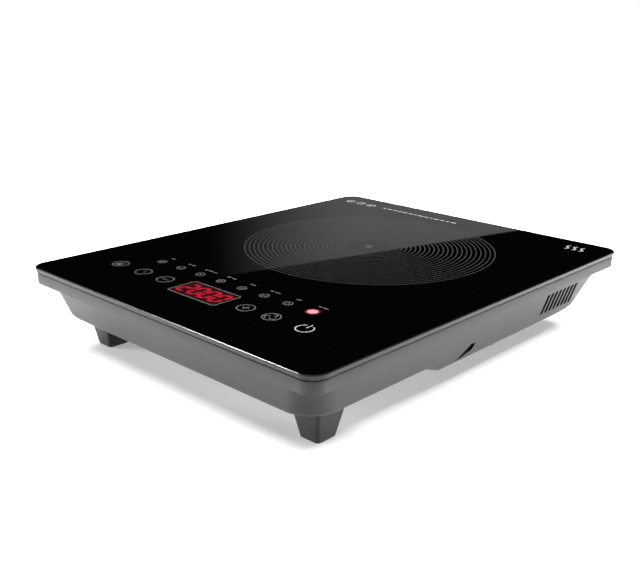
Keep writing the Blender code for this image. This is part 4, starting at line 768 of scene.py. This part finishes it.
def housing_shell():
    """The moulded tub with its feet, bosses, vents, grille, scoop and cord outlet."""
    rim_top = HOUSING_HIGH.z
    rim = [(RIM_INSET, z, skirt_radius(RIM_INSET)) for z in (rim_top, SKIRT_BOTTOM)]
    start = [tub_ring(edge, edge) for edge in rim]
    front_top = (WALL_TOP_INSET, SKIRT_BOTTOM, FRONT_CORNER_RADIUS)
    back_top = (WALL_TOP_INSET, SKIRT_BOTTOM, BACK_CORNER_TOP_RADIUS)
    made = tub_solid("housing_shell", 0, start + [tub_ring(front_top, back_top)])
    combine(made, feet("feet_outside", 0, FOOT_BOTTOM, WALL / 2), "UNION")
    gland_low, gland_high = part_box("cord_gland")
    gland = (gland_low + gland_high) / 2
    gland.y = gland_high.y - GLAND_SEAT_DEPTH
    boss_radius = GLAND_BODY_RADIUS + GLAND_BOSS_WALL
    boss_length = 4 * WALL
    boss = turned(
        "gland_boss", [(boss_radius, -boss_length), (boss_radius, -0.0004), (boss_radius - 0.0004, 0)],
        gland, GREY, axis="Y")
    combine(made, boss, "UNION")
    hollow_top = WALL_TOP_INSET + WALL / math.cos(WALL_TAPER)
    hollow_start = []
    for z in (rim_top + WALL, SKIRT_BOTTOM):
        front_top = (hollow_top, z, FRONT_CORNER_RADIUS - WALL)
        back_top = (hollow_top, z, BACK_CORNER_TOP_RADIUS - WALL)
        hollow_start.append(tub_ring(front_top, back_top))
    combine(made, tub_solid("hollow", WALL, hollow_start), "DIFFERENCE")
    pad_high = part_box(PAD_NODES[0])[1]
    combine(made, feet("feet_inside", WALL, pad_high.z + 2 * WALL, 2 * WALL), "DIFFERENCE")
    combine(made, inside_columns(), "UNION")
    combine(made, screw_recesses(), "DIFFERENCE")
    combine(made, wall_vents(), "DIFFERENCE")
    combine(made, inlet_grille(), "DIFFERENCE")
    combine(made, scoop_slot(), "DIFFERENCE")
    bore = GLAND_BODY_RADIUS + REST_GAP
    hole = turned(
        "gland_hole", [(bore, -2 * boss_length), (bore, boss_length)], gland, GREY, axis="Y")
    combine(made, hole, "DIFFERENCE")
    seats = []
    for node in PAD_NODES:
        low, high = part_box(node)
        size = high - low
        width, depth = size.x + 2 * REST_GAP, size.y + 2 * REST_GAP
        seats.append(rounded_outline(width, depth, PAD_SEAT_CORNER_RADIUS, middle(node), 6))
    combine(made, prisms("pad_seats", seats, -WALL, pad_high.z + REST_GAP, GREY), "DIFFERENCE")
    settle(made)
    shade_round(made, 28)
    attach(made, "housing")
    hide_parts("lower_housing")


def foot_pad(node):
    """A rubber pad with a softened rim and a recessed middle."""
    low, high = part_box(node)
    place = middle(node)
    size = high - low
    edge = 0.0005
    rings = []
    for z, inset in (
            (high.z, 0), (low.z + edge, 0), (low.z + 0.3 * edge, 0.3 * edge), (low.z, edge),
            (low.z, 3 * edge), (low.z + 0.5 * edge, 3.5 * edge)):
        width, depth = size.x - 2 * inset, size.y - 2 * inset
        rings.append(rounded_rectangle(width, depth, PAD_CORNER_RADIUS - inset / 2, z, place, 8))
    made = shade_round(loft(node.replace("foot_pad", "rubber_foot"), rings, LOOKS["rubber"]), 50)
    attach(made, "housing")
    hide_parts(node)


def housing_screw(index, node):
    """A pan head screw with a cross recess and a threaded shank."""
    low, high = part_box(node)
    place = middle(node)
    head = 0.0024
    shoulder = BOSS_SHOULDER
    bottom = shoulder - REST_GAP - head
    profile = []
    for step in range(6):
        angle = math.pi / 2 * step / 5
        radius = SCREW_HEAD_RADIUS * (0.35 + 0.65 * math.sin(angle))
        profile.append((radius, bottom + head * 0.45 * (1 - math.cos(angle))))
    profile += [(SCREW_HEAD_RADIUS, shoulder - REST_GAP), (SCREW_SHANK_RADIUS, shoulder - REST_GAP)]
    thread_start = shoulder + 0.002
    thread_pitch = 0.0009
    turns = int((high.z - 0.0014 - thread_start) / thread_pitch)
    root = SCREW_SHANK_RADIUS * 0.78
    for turn in range(turns):
        z = thread_start + turn * thread_pitch
        profile += [(root, z), (SCREW_SHANK_RADIUS, z + thread_pitch * 0.5)]
    profile += [(root, thread_start + turns * thread_pitch), (SCREW_SHANK_RADIUS * 0.3, high.z)]
    made = turned(f"pan_screw_{index}", profile, (place.x, place.y, 0), LOOKS["steel"], steps=32)
    slot = SCREW_HEAD_RADIUS * 0.55
    thin = SCREW_HEAD_RADIUS * 0.11
    depth = bottom + head * 0.6
    for name, wide, deep in (("cross_a", slot, thin), ("cross_b", thin, slot)):
        arm = boxes(
            f"{name}_{index}",
            [((place.x - wide, place.y - deep, bottom - head), (place.x + wide, place.y + deep, depth))],
            LOOKS["steel"])
        combine(made, arm, "DIFFERENCE")
    shade_round(settle(made), 35)
    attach(made, "housing")
    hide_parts(node)


def cord_bush():
    """The bush in the cord outlet: a rounded flange, a plain neck and a flared bore."""
    low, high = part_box("cord_gland")
    centre = Vector(((low.x + high.x) / 2, 0, (low.z + high.z) / 2))
    flange = (high.x - low.x) / 2
    face = high.y
    back = face - 0.0020
    round_edge = 0.0006
    bore = GLAND_BORE_RADIUS
    profile = [(bore, face - 0.0012), (bore + 0.0003, face - 0.0004), (bore + 0.0009, face)]
    for step in range(5):
        angle = math.pi / 2 * step / 4
        radius = flange - round_edge * (1 - math.sin(angle))
        profile.append((radius, face - round_edge * (1 - math.cos(angle))))
    profile += [(flange, back + 0.0002), (flange - 0.0002, back), (GLAND_BODY_RADIUS, back)]
    profile += [(GLAND_BODY_RADIUS, low.y + 0.0005), (GLAND_BODY_RADIUS - 0.0005, low.y), (bore, low.y)]
    made = turned("cord_bush", profile[::-1], centre, LOOKS["rubber"], closed=True, axis="Y")
    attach(made, "housing")
    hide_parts("cord_gland")


# ---------------------------------------------------------------- fan

BLADE_COUNT = 7
# Points round a blade's section, as shares of its chord and of its thickness.
BLADE_SECTION = ((-0.5, 0.15), (-0.2, 0.9), (0.2, 0.9), (0.5, 0.15), (0.2, -0.1), (-0.2, -0.1))

def fan_wheel():
    """The rotor: a hub cup with a rounded crown and seven twisted, swept blades."""
    low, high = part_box("fan_rotor")
    centre = middle("fan_rotor")
    tip = (high.y - low.y) / 2
    hub = 0.0120
    height = high.z - low.z
    cup_low = low.z + height * 0.12
    cup_high = high.z
    crown = 0.0012
    shaft = 0.0015
    inside = hub - 0.0018
    ceiling = cup_high - 0.0030
    profile = [(0.0008, low.z), (shaft, low.z + 0.0006), (shaft, ceiling), (inside, ceiling)]
    profile += [(inside, cup_low), (hub, cup_low), (hub, cup_high - crown)]
    for step in range(1, 6):
        angle = math.pi / 2 * step / 5
        profile.append((hub - crown * (1 - math.cos(angle)), cup_high - crown * (1 - math.sin(angle))))
    profile.append((hub * 0.35, cup_high))
    profile.append((hub * 0.33, cup_high - 0.0003))
    made = turned("fan_wheel", profile, (centre.x, centre.y, 0), LOOKS["dark_plastic"])
    blades = bmesh.new()
    for blade in range(BLADE_COUNT):
        start = 2 * math.pi * blade / BLADE_COUNT
        rings = []
        for span in range(7):
            share = span / 6
            radius = hub * 0.95 + (tip * 0.985 - hub * 0.95) * share
            pitch = math.radians(46 - 14 * share)
            chord = 0.0085 + 0.0055 * share
            sweep = math.radians(10) * share
            section = []
            for across, thick in BLADE_SECTION:
                run = across * chord
                lift = thick * 0.0013 + 0.0008 * (0.25 - across ** 2)
                side = run * math.cos(pitch) - lift * math.sin(pitch)
                rise = run * math.sin(pitch) + lift * math.cos(pitch)
                angle = start + sweep + side / radius
                x = centre.x + radius * math.cos(angle)
                y = centre.y + radius * math.sin(angle)
                section.append(Vector((x, y, (cup_low + cup_high) / 2 + rise)))
            rings.append(section)
        add_rings(blades, rings)
    combine(made, new_object("wheel_blades", blades, LOOKS["dark_plastic"]), "UNION")
    shade_round(settle(made), 40)
    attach(made, "fan_rotor")
    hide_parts("fan_rotor")


# ---------------------------------------------------------------- prints on the glass

def add_stroke(mesh_data, points, width, closed=False):
    """A flat line of even width through plan points, as a thin closed solid on the glass."""
    low = GLASS_TOP - PRINT_SINK
    high = GLASS_TOP + PRINT_RISE
    path = [Vector((point[0], point[1])) for point in points]
    count = len(path)
    rings = []
    for index, point in enumerate(path):
        if closed:
            before, after = path[index - 1], path[(index + 1) % count]
        else:
            before, after = path[max(index - 1, 0)], path[min(index + 1, count - 1)]
        toward = (after - before).normalized()
        side = Vector((-toward.y, toward.x)) * (width / 2)
        if 0 < index < count - 1 or closed:
            bend = (point - before).normalized().dot((after - point).normalized())
            side *= 1 / math.sqrt(max((1 + bend) / 2, 0.3))
        left, right = point + side, point - side
        rings.append([
            Vector((left.x, left.y, low)), Vector((right.x, right.y, low)),
            Vector((right.x, right.y, high)), Vector((left.x, left.y, high))])
    add_rings(mesh_data, rings, closed)


def add_area(mesh_data, outline):
    """A filled patch of print."""
    add_column(mesh_data, outline, (GLASS_TOP - PRINT_SINK, GLASS_TOP + PRINT_RISE))


def add_circle(mesh_data, centre, radius, width, steps=40):
    add_stroke(mesh_data, circle_outline(centre, radius, steps), width, closed=True)


def add_arc(mesh_data, centre, radius, width, start_degrees, end_degrees, steps=24):
    points = []
    for step in range(steps + 1):
        angle = math.radians(start_degrees + (end_degrees - start_degrees) * step / steps)
        points.append((centre[0] + radius * math.cos(angle), centre[1] + radius * math.sin(angle)))
    add_stroke(mesh_data, points, width)


def add_line(mesh_data, centre, offsets, width):
    add_stroke(mesh_data, [(centre[0] + x, centre[1] + y) for x, y in offsets], width)


def add_dash(mesh_data, centre, length, width):
    """A short bar with round ends."""
    add_area(mesh_data, rounded_outline(length, width, width * 0.45, centre, 4))


def printed(name, mesh_data, material):
    made = new_object(name, mesh_data, material)
    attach(made, "housing")


def zone_print():
    """The cooking zone's rings, and the small mark at its centre."""
    rings = bmesh.new()
    for index in range(RING_COUNT):
        width = RING_WIDTH * (1.15 if index == 0 else 1.0)
        add_circle(rings, ZONE, ZONE_RADIUS - index * RING_PITCH, width, 128 if index < 12 else 72)
    printed("zone_rings", rings, RING_INK)
    mark = bmesh.new()
    add_circle(mark, ZONE, 0.0022, 0.0009, 24)
    add_dash(mark, ZONE, 0.0012, 0.0012)
    printed("zone_centre", mark, KEY_INK)


def key_prints():
    """Six touch keys: lock, timer, less, more, function and power."""
    lock, timer, less, more, function, power = [(key.x * KEY_SPREAD, key.y) for key in KEYS]
    thick = KEY_STROKE * 1.2
    rings = bmesh.new()
    for place in (lock, timer, less, more, function):
        add_circle(rings, place, KEY_RADIUS - KEY_STROKE, KEY_STROKE * 1.25)
    add_arc(rings, (lock[0], lock[1] + 0.0006), 0.0019, KEY_STROKE, 0, 180, 12)
    add_area(rings, rounded_outline(0.0056, 0.0036, 0.0006, (lock[0], lock[1] - 0.0016), 3))
    add_line(rings, timer, [(0, 0.0042), (0, 0), (0.0030, -0.0014)], KEY_STROKE)
    add_line(rings, less, [(-0.0036, 0), (0.0036, 0)], thick)
    add_line(rings, more, [(-0.0032, 0), (0.0032, 0)], thick)
    add_line(rings, more, [(0, 0.0032), (0, 0.0005)], thick)
    add_line(rings, more, [(0, -0.0005), (0, -0.0032)], thick)
    for turn in (90, 210, 330):
        angle = math.radians(turn)
        hub = (function[0] + 0.0027 * math.cos(angle), function[1] + 0.0027 * math.sin(angle))
        add_arc(rings, hub, 0.0019, KEY_STROKE * 1.3, turn - 150, turn + 80, 14)
    printed("key_marks", rings, KEY_INK)
    switch = bmesh.new()
    add_arc(switch, power, POWER_RADIUS, POWER_STROKE, 118, 422, 40)
    add_line(switch, power, [(0, POWER_RADIUS + 0.0015), (0, 0.0016)], POWER_STROKE)
    printed("power_mark", switch, BRIGHT_INK)

# Lengths of the dashes that stand for each cooking mode's caption.
CAPTIONS = (
    (0.0045,), (0.0033, 0.0039), (0.0030, 0.0051, 0.0030), (0.0045, 0.0042),
    (0.0054,), (0.0036, 0.0048), (0.0045,), (0.0033, 0.0045),
)
# Lines of each mode's sign, from the middle of its ring. The last mode shows the lit lamp instead.
MODE_SIGNS = (
    [[(-0.0018, -0.0010), (0.0018, -0.0010)], [(-0.0012, 0.0008), (0.0012, 0.0008)]],
    [[(-0.0016, 0.0010), (-0.0016, -0.0012), (0.0016, -0.0012), (0.0016, 0.0010)]],
    [[(-0.0018, 0.0), (-0.0006, 0.0010), (0.0006, -0.0010), (0.0018, 0.0)]],
    [[(0.0, 0.0018), (0.0014, -0.0010), (-0.0014, -0.0010), (0.0, 0.0018)]],
    [[(-0.0018, -0.0008), (0.0018, -0.0008)], [(-0.0018, 0.0008), (0.0018, 0.0008)]],
    [[(-0.0010, 0.0016), (-0.0010, -0.0016)], [(0.0010, 0.0016), (0.0010, -0.0016)]],
    [[(-0.0016, -0.0012), (0.0, 0.0014), (0.0016, -0.0012)]],
)

def lamp_places():
    """Plan centres of the row of indicators over the lamp bar."""
    edge = (LAMP_BAR_HIGH.x - LAMP_BAR_LOW.x - LAMP_ROW_LENGTH) / 2 + LAMP_MARK_RADIUS
    first = LAMP_BAR_LOW.x + edge
    last = LAMP_BAR_HIGH.x - edge
    row = (LAMP_BAR_LOW.y + LAMP_BAR_HIGH.y) / 2
    return [(first + (last - first) * index / (LAMP_COUNT - 1), row) for index in range(LAMP_COUNT)]

def lamp_prints():
    """A ring and a small sign for each cooking mode, its caption as plain dashes, and the lit lamp."""
    marks = bmesh.new()
    captions = bmesh.new()
    places = lamp_places()
    for place, lengths in zip(places, CAPTIONS):
        left = place[0] - (sum(lengths) + CAPTION_GAP * (len(lengths) - 1)) / 2
        for length in lengths:
            add_dash(captions, (left + length / 2, place[1] + CAPTION_RISE), length, CAPTION_WIDTH)
            left += length + CAPTION_GAP
    for place, lines in zip(places, MODE_SIGNS):
        add_circle(marks, place, LAMP_MARK_RADIUS - MODE_STROKE, MODE_STROKE * 1.2, 32)
        for line in lines:
            add_line(marks, place, line, MODE_STROKE)
    printed("mode_marks", marks, KEY_INK)
    printed("mode_captions", captions, DIM_INK)
    lit = bmesh.new()
    add_area(lit, circle_outline(places[-1], LAMP_RADIUS, 48))
    spot = Vector((*places[-1], GLASS_TOP))
    glow = lamp_glow("lit_lamp", spot, (1.0, 0.46, 0.46), (0.10, 0.004, 0.008), LAMP_CORE_RADIUS, LAMP_RADIUS)
    printed("mode_lamp", lit, glow)

# Ends of each segment of a digit, as shares of its width and height.
SEGMENTS = {
    "a": ((0.02, 1), (0.98, 1)),
    "b": ((1, 0.99), (1, 0.51)),
    "c": ((1, 0.49), (1, 0.01)),
    "d": ((0.02, 0), (0.98, 0)),
    "e": ((0, 0.01), (0, 0.49)),
    "f": ((0, 0.51), (0, 0.99)),
    "g": ((0.02, 0.5), (0.98, 0.5)),
}
DIGITS = {"0": "abcdef", "2": "abdeg"}

def display_prints():
    """The display window: a thin frame, a smoked pane and four slanted seven-segment digits."""
    place = (DISPLAY.x, DISPLAY.y)
    window = bmesh.new()
    pane = rounded_outline(DISPLAY_WIDTH, DISPLAY_DEPTH, DISPLAY_CORNER, place, 5)
    add_column(window, pane, (GLASS_TOP - PRINT_SINK, GLASS_TOP + PRINT_RISE * 0.4))
    printed("display_window", window, SMOKED)
    border = bmesh.new()
    width = DISPLAY_WIDTH + 2 * DISPLAY_STROKE
    depth = DISPLAY_DEPTH + 2 * DISPLAY_STROKE
    ring = rounded_outline(width, depth, DISPLAY_CORNER + DISPLAY_STROKE / 2, place, 5)
    add_stroke(border, ring, DISPLAY_STROKE, closed=True)
    printed("display_border", border, DIM_INK)
    digits = bmesh.new()
    for index, digit in enumerate("2000"):
        left = place[0] + (index - 1.5) * DIGIT_STEP - DIGIT_WIDTH / 2
        for letter in DIGITS[digit]:
            ends = []
            for x, y in SEGMENTS[letter]:
                rise = (y - 0.5) * DIGIT_HEIGHT
                ends.append(Vector((left + x * DIGIT_WIDTH + rise * DIGIT_LEAN, place[1] + rise)))
            start, end = ends
            nose = (end - start).normalized() * (DIGIT_BAR / 2)
            side = Vector((-nose.y, nose.x))
            add_area(digits, (
                start, start + nose + side, end - nose + side,
                end, end - nose - side, start + nose - side))
    printed("display_digits", digits, DIGIT_RED)

# Lines of the three notices, from the middle of each ring.
NOTICE_SIGNS = (
    [[(-0.0014, -0.0014), (0.0014, 0.0014)], [(-0.0014, 0.0014), (0.0014, -0.0014)]],
    [[(0.0, 0.0020), (0.0, -0.0004)], [(0.0, -0.0014), (0.0, -0.0021)]],
    [[(-0.0020, 0.0008), (0.0, -0.0012), (0.0020, 0.0008)]],
)

def corner_prints():
    """Plain signs along the plate's back: three notices, a line of dashes and three waves."""
    notices = bmesh.new()
    for index, lines in enumerate(NOTICE_SIGNS):
        place = (NOTICE_START + NOTICE_STEP * index, NOTICE_ROW)
        add_circle(notices, place, NOTICE_RADIUS, 0.0008, 28)
        for line in lines:
            add_line(notices, place, line, 0.0010)
    printed("notice_marks", notices, NOTICE_INK)
    dashes = bmesh.new()
    left = DASHES_START
    for index in range(DASH_COUNT):
        length = 0.0036 + 0.0011 * (index * 5 % 3)
        add_dash(dashes, (left + length / 2, NOTICE_ROW), length, DASH_WIDTH)
        left += length + DASH_GAP
    printed("notice_line", dashes, NOTICE_INK)
    emblem = bmesh.new()
    for index in range(3):
        x = WAVE_START + WAVE_STEP * index
        points = []
        for step in range(17):
            share = step / 16
            swing = WAVE_SWING * math.sin(2 * math.pi * share)
            points.append((x + swing, NOTICE_ROW + WAVE_HEIGHT * (share - 0.5)))
        add_stroke(emblem, points, WAVE_STROKE)
    printed("heat_emblem", emblem, BRIGHT_INK)

# ---------------------------------------------------------------- parts that keep their CAD shape

INNER_EDGE = 0.00012
INNER_EDGE_ANGLE = math.radians(50)


def finish_inner_parts():
    """Gives every CAD node that still shows its look, with its edges slightly broken."""
    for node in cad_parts.values():
        if node.hide_render:
            continue
        slot_name = node.data.materials[0].name.split(".")[0]
        node.material_slots[0].material = LOOKS[slot_name]
        weld = node.modifiers.new("weld", "WELD")
        weld.merge_threshold = 0.000002
        edge = node.modifiers.new("edge", "BEVEL")
        edge.width = INNER_EDGE
        edge.segments = 2
        edge.angle_limit = INNER_EDGE_ANGLE
        edge.harden_normals = False


# ---------------------------------------------------------------- stage

FLOOR_RADIUS = 0.85
FLOOR_GLOW = 0.34
CARD_DISTANCE = 1.6
CARD_BOTTOM = 0.05
CARD_TOP = 1.9
CARD_WIDTH = 1.7
CARD_GLOW = 0.275
# Plan points on the glass where the card's edge shows.
CARD_LINE = ((0.052, HALF_DEPTH), (-0.030, -0.113))
CAMERA_LENS = 49.018
CAMERA_PLACE = Vector((0.417063, -0.470076, 0.243738))
CAMERA_AZIMUTH = math.radians(42.825)
CAMERA_ELEVATION = math.radians(17.752)
CAMERA_ROLL = math.radians(0.914)


def add_camera():
    back = Vector((
        math.sin(CAMERA_AZIMUTH) * math.cos(CAMERA_ELEVATION),
        -math.cos(CAMERA_AZIMUTH) * math.cos(CAMERA_ELEVATION),
        math.sin(CAMERA_ELEVATION)))
    level_right = Vector((0, 0, 1)).cross(back).normalized()
    level_up = back.cross(level_right)
    right = math.cos(CAMERA_ROLL) * level_right + math.sin(CAMERA_ROLL) * level_up
    up = math.cos(CAMERA_ROLL) * level_up - math.sin(CAMERA_ROLL) * level_right
    data = bpy.data.cameras.new("camera")
    data.sensor_width = 36
    data.lens = CAMERA_LENS
    data.clip_start = 0.01
    data.clip_end = 100
    camera = bpy.data.objects.new("camera", data)
    turn = Matrix((right, up, back)).transposed().to_4x4()
    camera.matrix_world = Matrix.Translation(CAMERA_PLACE) @ turn
    bpy.context.scene.collection.objects.link(camera)
    bpy.context.scene.camera = camera


def add_floor():
    """A pale disc that glows a little, so that the shadow under the cooktop stays light."""
    made, shader = shader_of("floor_white", (0.80, 0.80, 0.80), 0.9)
    shader.inputs["Specular IOR Level"].default_value = 0.0
    shader.inputs["Emission Color"].default_value = (1, 1, 1, 1)
    shader.inputs["Emission Strength"].default_value = FLOOR_GLOW
    colours = tinted(shader, noise(shader, 60), (0.795, 0.795, 0.795), (0.805, 0.805, 0.805))
    made.node_tree.links.new(colours, shader.inputs["Base Color"])
    mesh_data = bmesh.new()
    ring = [mesh_data.verts.new((x, y, 0)) for x, y in circle_outline((0, 0), FLOOR_RADIUS, 96)]
    mesh_data.faces.new(ring)
    floor = new_object("floor", mesh_data, made)
    floor.visible_diffuse = False

def area_light(name, direction, distance, size, power, glossy=True):
    """A rectangular softbox that faces the cooktop."""
    data = bpy.data.lights.new(name, "AREA")
    data.shape = "RECTANGLE"
    data.size, data.size_y = size
    data.energy = power
    light = bpy.data.objects.new(name, data)
    toward = Vector(direction).normalized()
    light.location = toward * distance
    light.rotation_euler = toward.to_track_quat("Z", "Y").to_euler()
    light.visible_glossy = glossy
    light.visible_camera = False
    bpy.context.scene.collection.objects.link(light)
    return light


def faded(tree, value, start, end, low, high):
    """A smooth step from one number to another as a value goes from start to end."""
    step = tree.nodes.new("ShaderNodeMapRange")
    step.interpolation_type = "SMOOTHSTEP"
    step.inputs["From Min"].default_value = start
    step.inputs["From Max"].default_value = end
    step.inputs["To Min"].default_value = low
    step.inputs["To Max"].default_value = high
    tree.links.new(value, step.inputs["Value"])
    return step.outputs["Result"]

def card_glow(across):
    """A soft light that fades towards the card's top and its left side."""
    material = bpy.data.materials.new("window_card")
    material.use_nodes = True
    tree = material.node_tree
    tree.nodes.clear()
    output = tree.nodes.new("ShaderNodeOutputMaterial")
    emission = tree.nodes.new("ShaderNodeEmission")
    place = tree.nodes.new("ShaderNodeTexCoord")
    parts = tree.nodes.new("ShaderNodeSeparateXYZ")
    tree.links.new(place.outputs["Object"], parts.inputs["Vector"])
    offset = tree.nodes.new("ShaderNodeVectorMath")
    offset.operation = "DOT_PRODUCT"
    offset.inputs[1].default_value = across
    tree.links.new(place.outputs["Object"], offset.inputs[0])
    middle_line = CAMERA_PLACE.dot(across)
    height = faded(tree, parts.outputs["Z"], 0.60, 1.00, CARD_GLOW, 0.0)
    side = faded(tree, offset.outputs["Value"], middle_line - 0.31, middle_line + 0.13, 0.0, 1.0)
    product = tree.nodes.new("ShaderNodeMath")
    product.operation = "MULTIPLY"
    tree.links.new(height, product.inputs[0])
    tree.links.new(side, product.inputs[1])
    tree.links.new(product.outputs["Value"], emission.inputs["Strength"])
    tree.links.new(emission.outputs["Emission"], output.inputs["Surface"])
    return material

def add_window_card():
    """A grey card behind the cooktop. Its straight right edge shows as a slanted line in the glass."""
    ahead = Vector((-math.sin(CAMERA_AZIMUTH), math.cos(CAMERA_AZIMUTH), 0))
    across = Vector((ahead.y, -ahead.x, 0))
    mirrored = Vector((CAMERA_PLACE.x, CAMERA_PLACE.y, 2 * GLASS_TOP - CAMERA_PLACE.z))
    hits = []
    for x, y in CARD_LINE:
        ray = Vector((x, y, GLASS_TOP)) - mirrored
        hits.append(mirrored + ray * ((CARD_DISTANCE - mirrored.dot(ahead)) / ray.dot(ahead)))
    low, high = hits
    slope = (high - low) / (high.z - low.z)
    bottom = low + slope * (CARD_BOTTOM - low.z)
    top = low + slope * (CARD_TOP - low.z)
    reach = across * CARD_WIDTH
    mesh_data = bmesh.new()
    corners = (bottom, top, top - reach, bottom - reach)
    mesh_data.faces.new([mesh_data.verts.new(point) for point in corners])
    card = new_object("window_card", mesh_data, card_glow(across))
    card.visible_camera = False
    card.visible_diffuse = False
    card.visible_shadow = False

def add_surroundings():
    scene = bpy.context.scene
    scene.view_settings.view_transform = "Standard"
    world = bpy.data.worlds.new("studio")
    world.use_nodes = True
    world.node_tree.nodes["Background"].inputs["Color"].default_value = (1, 1, 1, 1)
    world.node_tree.nodes["Background"].inputs["Strength"].default_value = 1.06
    world.cycles_visibility.glossy = False
    world.cycles_visibility.diffuse = False
    scene.world = world
    add_floor()
    add_window_card()
    area_light("overhead", (0, 0.05, 1), 2.2, (3.2, 3.2), 410, glossy=False)
    area_light("left_front", (-0.70, -0.66, 0.12), 3.2, (1.3, 0.8), 150, glossy=False)
    area_light("right_back", (0.94, 0.30, 0.12), 3.2, (1.3, 0.8), 86, glossy=False)
    glint = area_light("edge_glint", (-0.63, -0.40, 0.665), 2.2, (0.42, 0.42), 210)
    glint.visible_diffuse = False


glass_plate()
seal()
frame_skirt()
housing_shell()
for pad in PAD_NODES:
    foot_pad(pad)
for number, screw in enumerate(SCREW_NODES, start=1):
    housing_screw(number, screw)
cord_bush()
fan_wheel()
zone_print()
key_prints()
lamp_prints()
display_prints()
corner_prints()
finish_inner_parts()
add_camera()
add_surroundings()
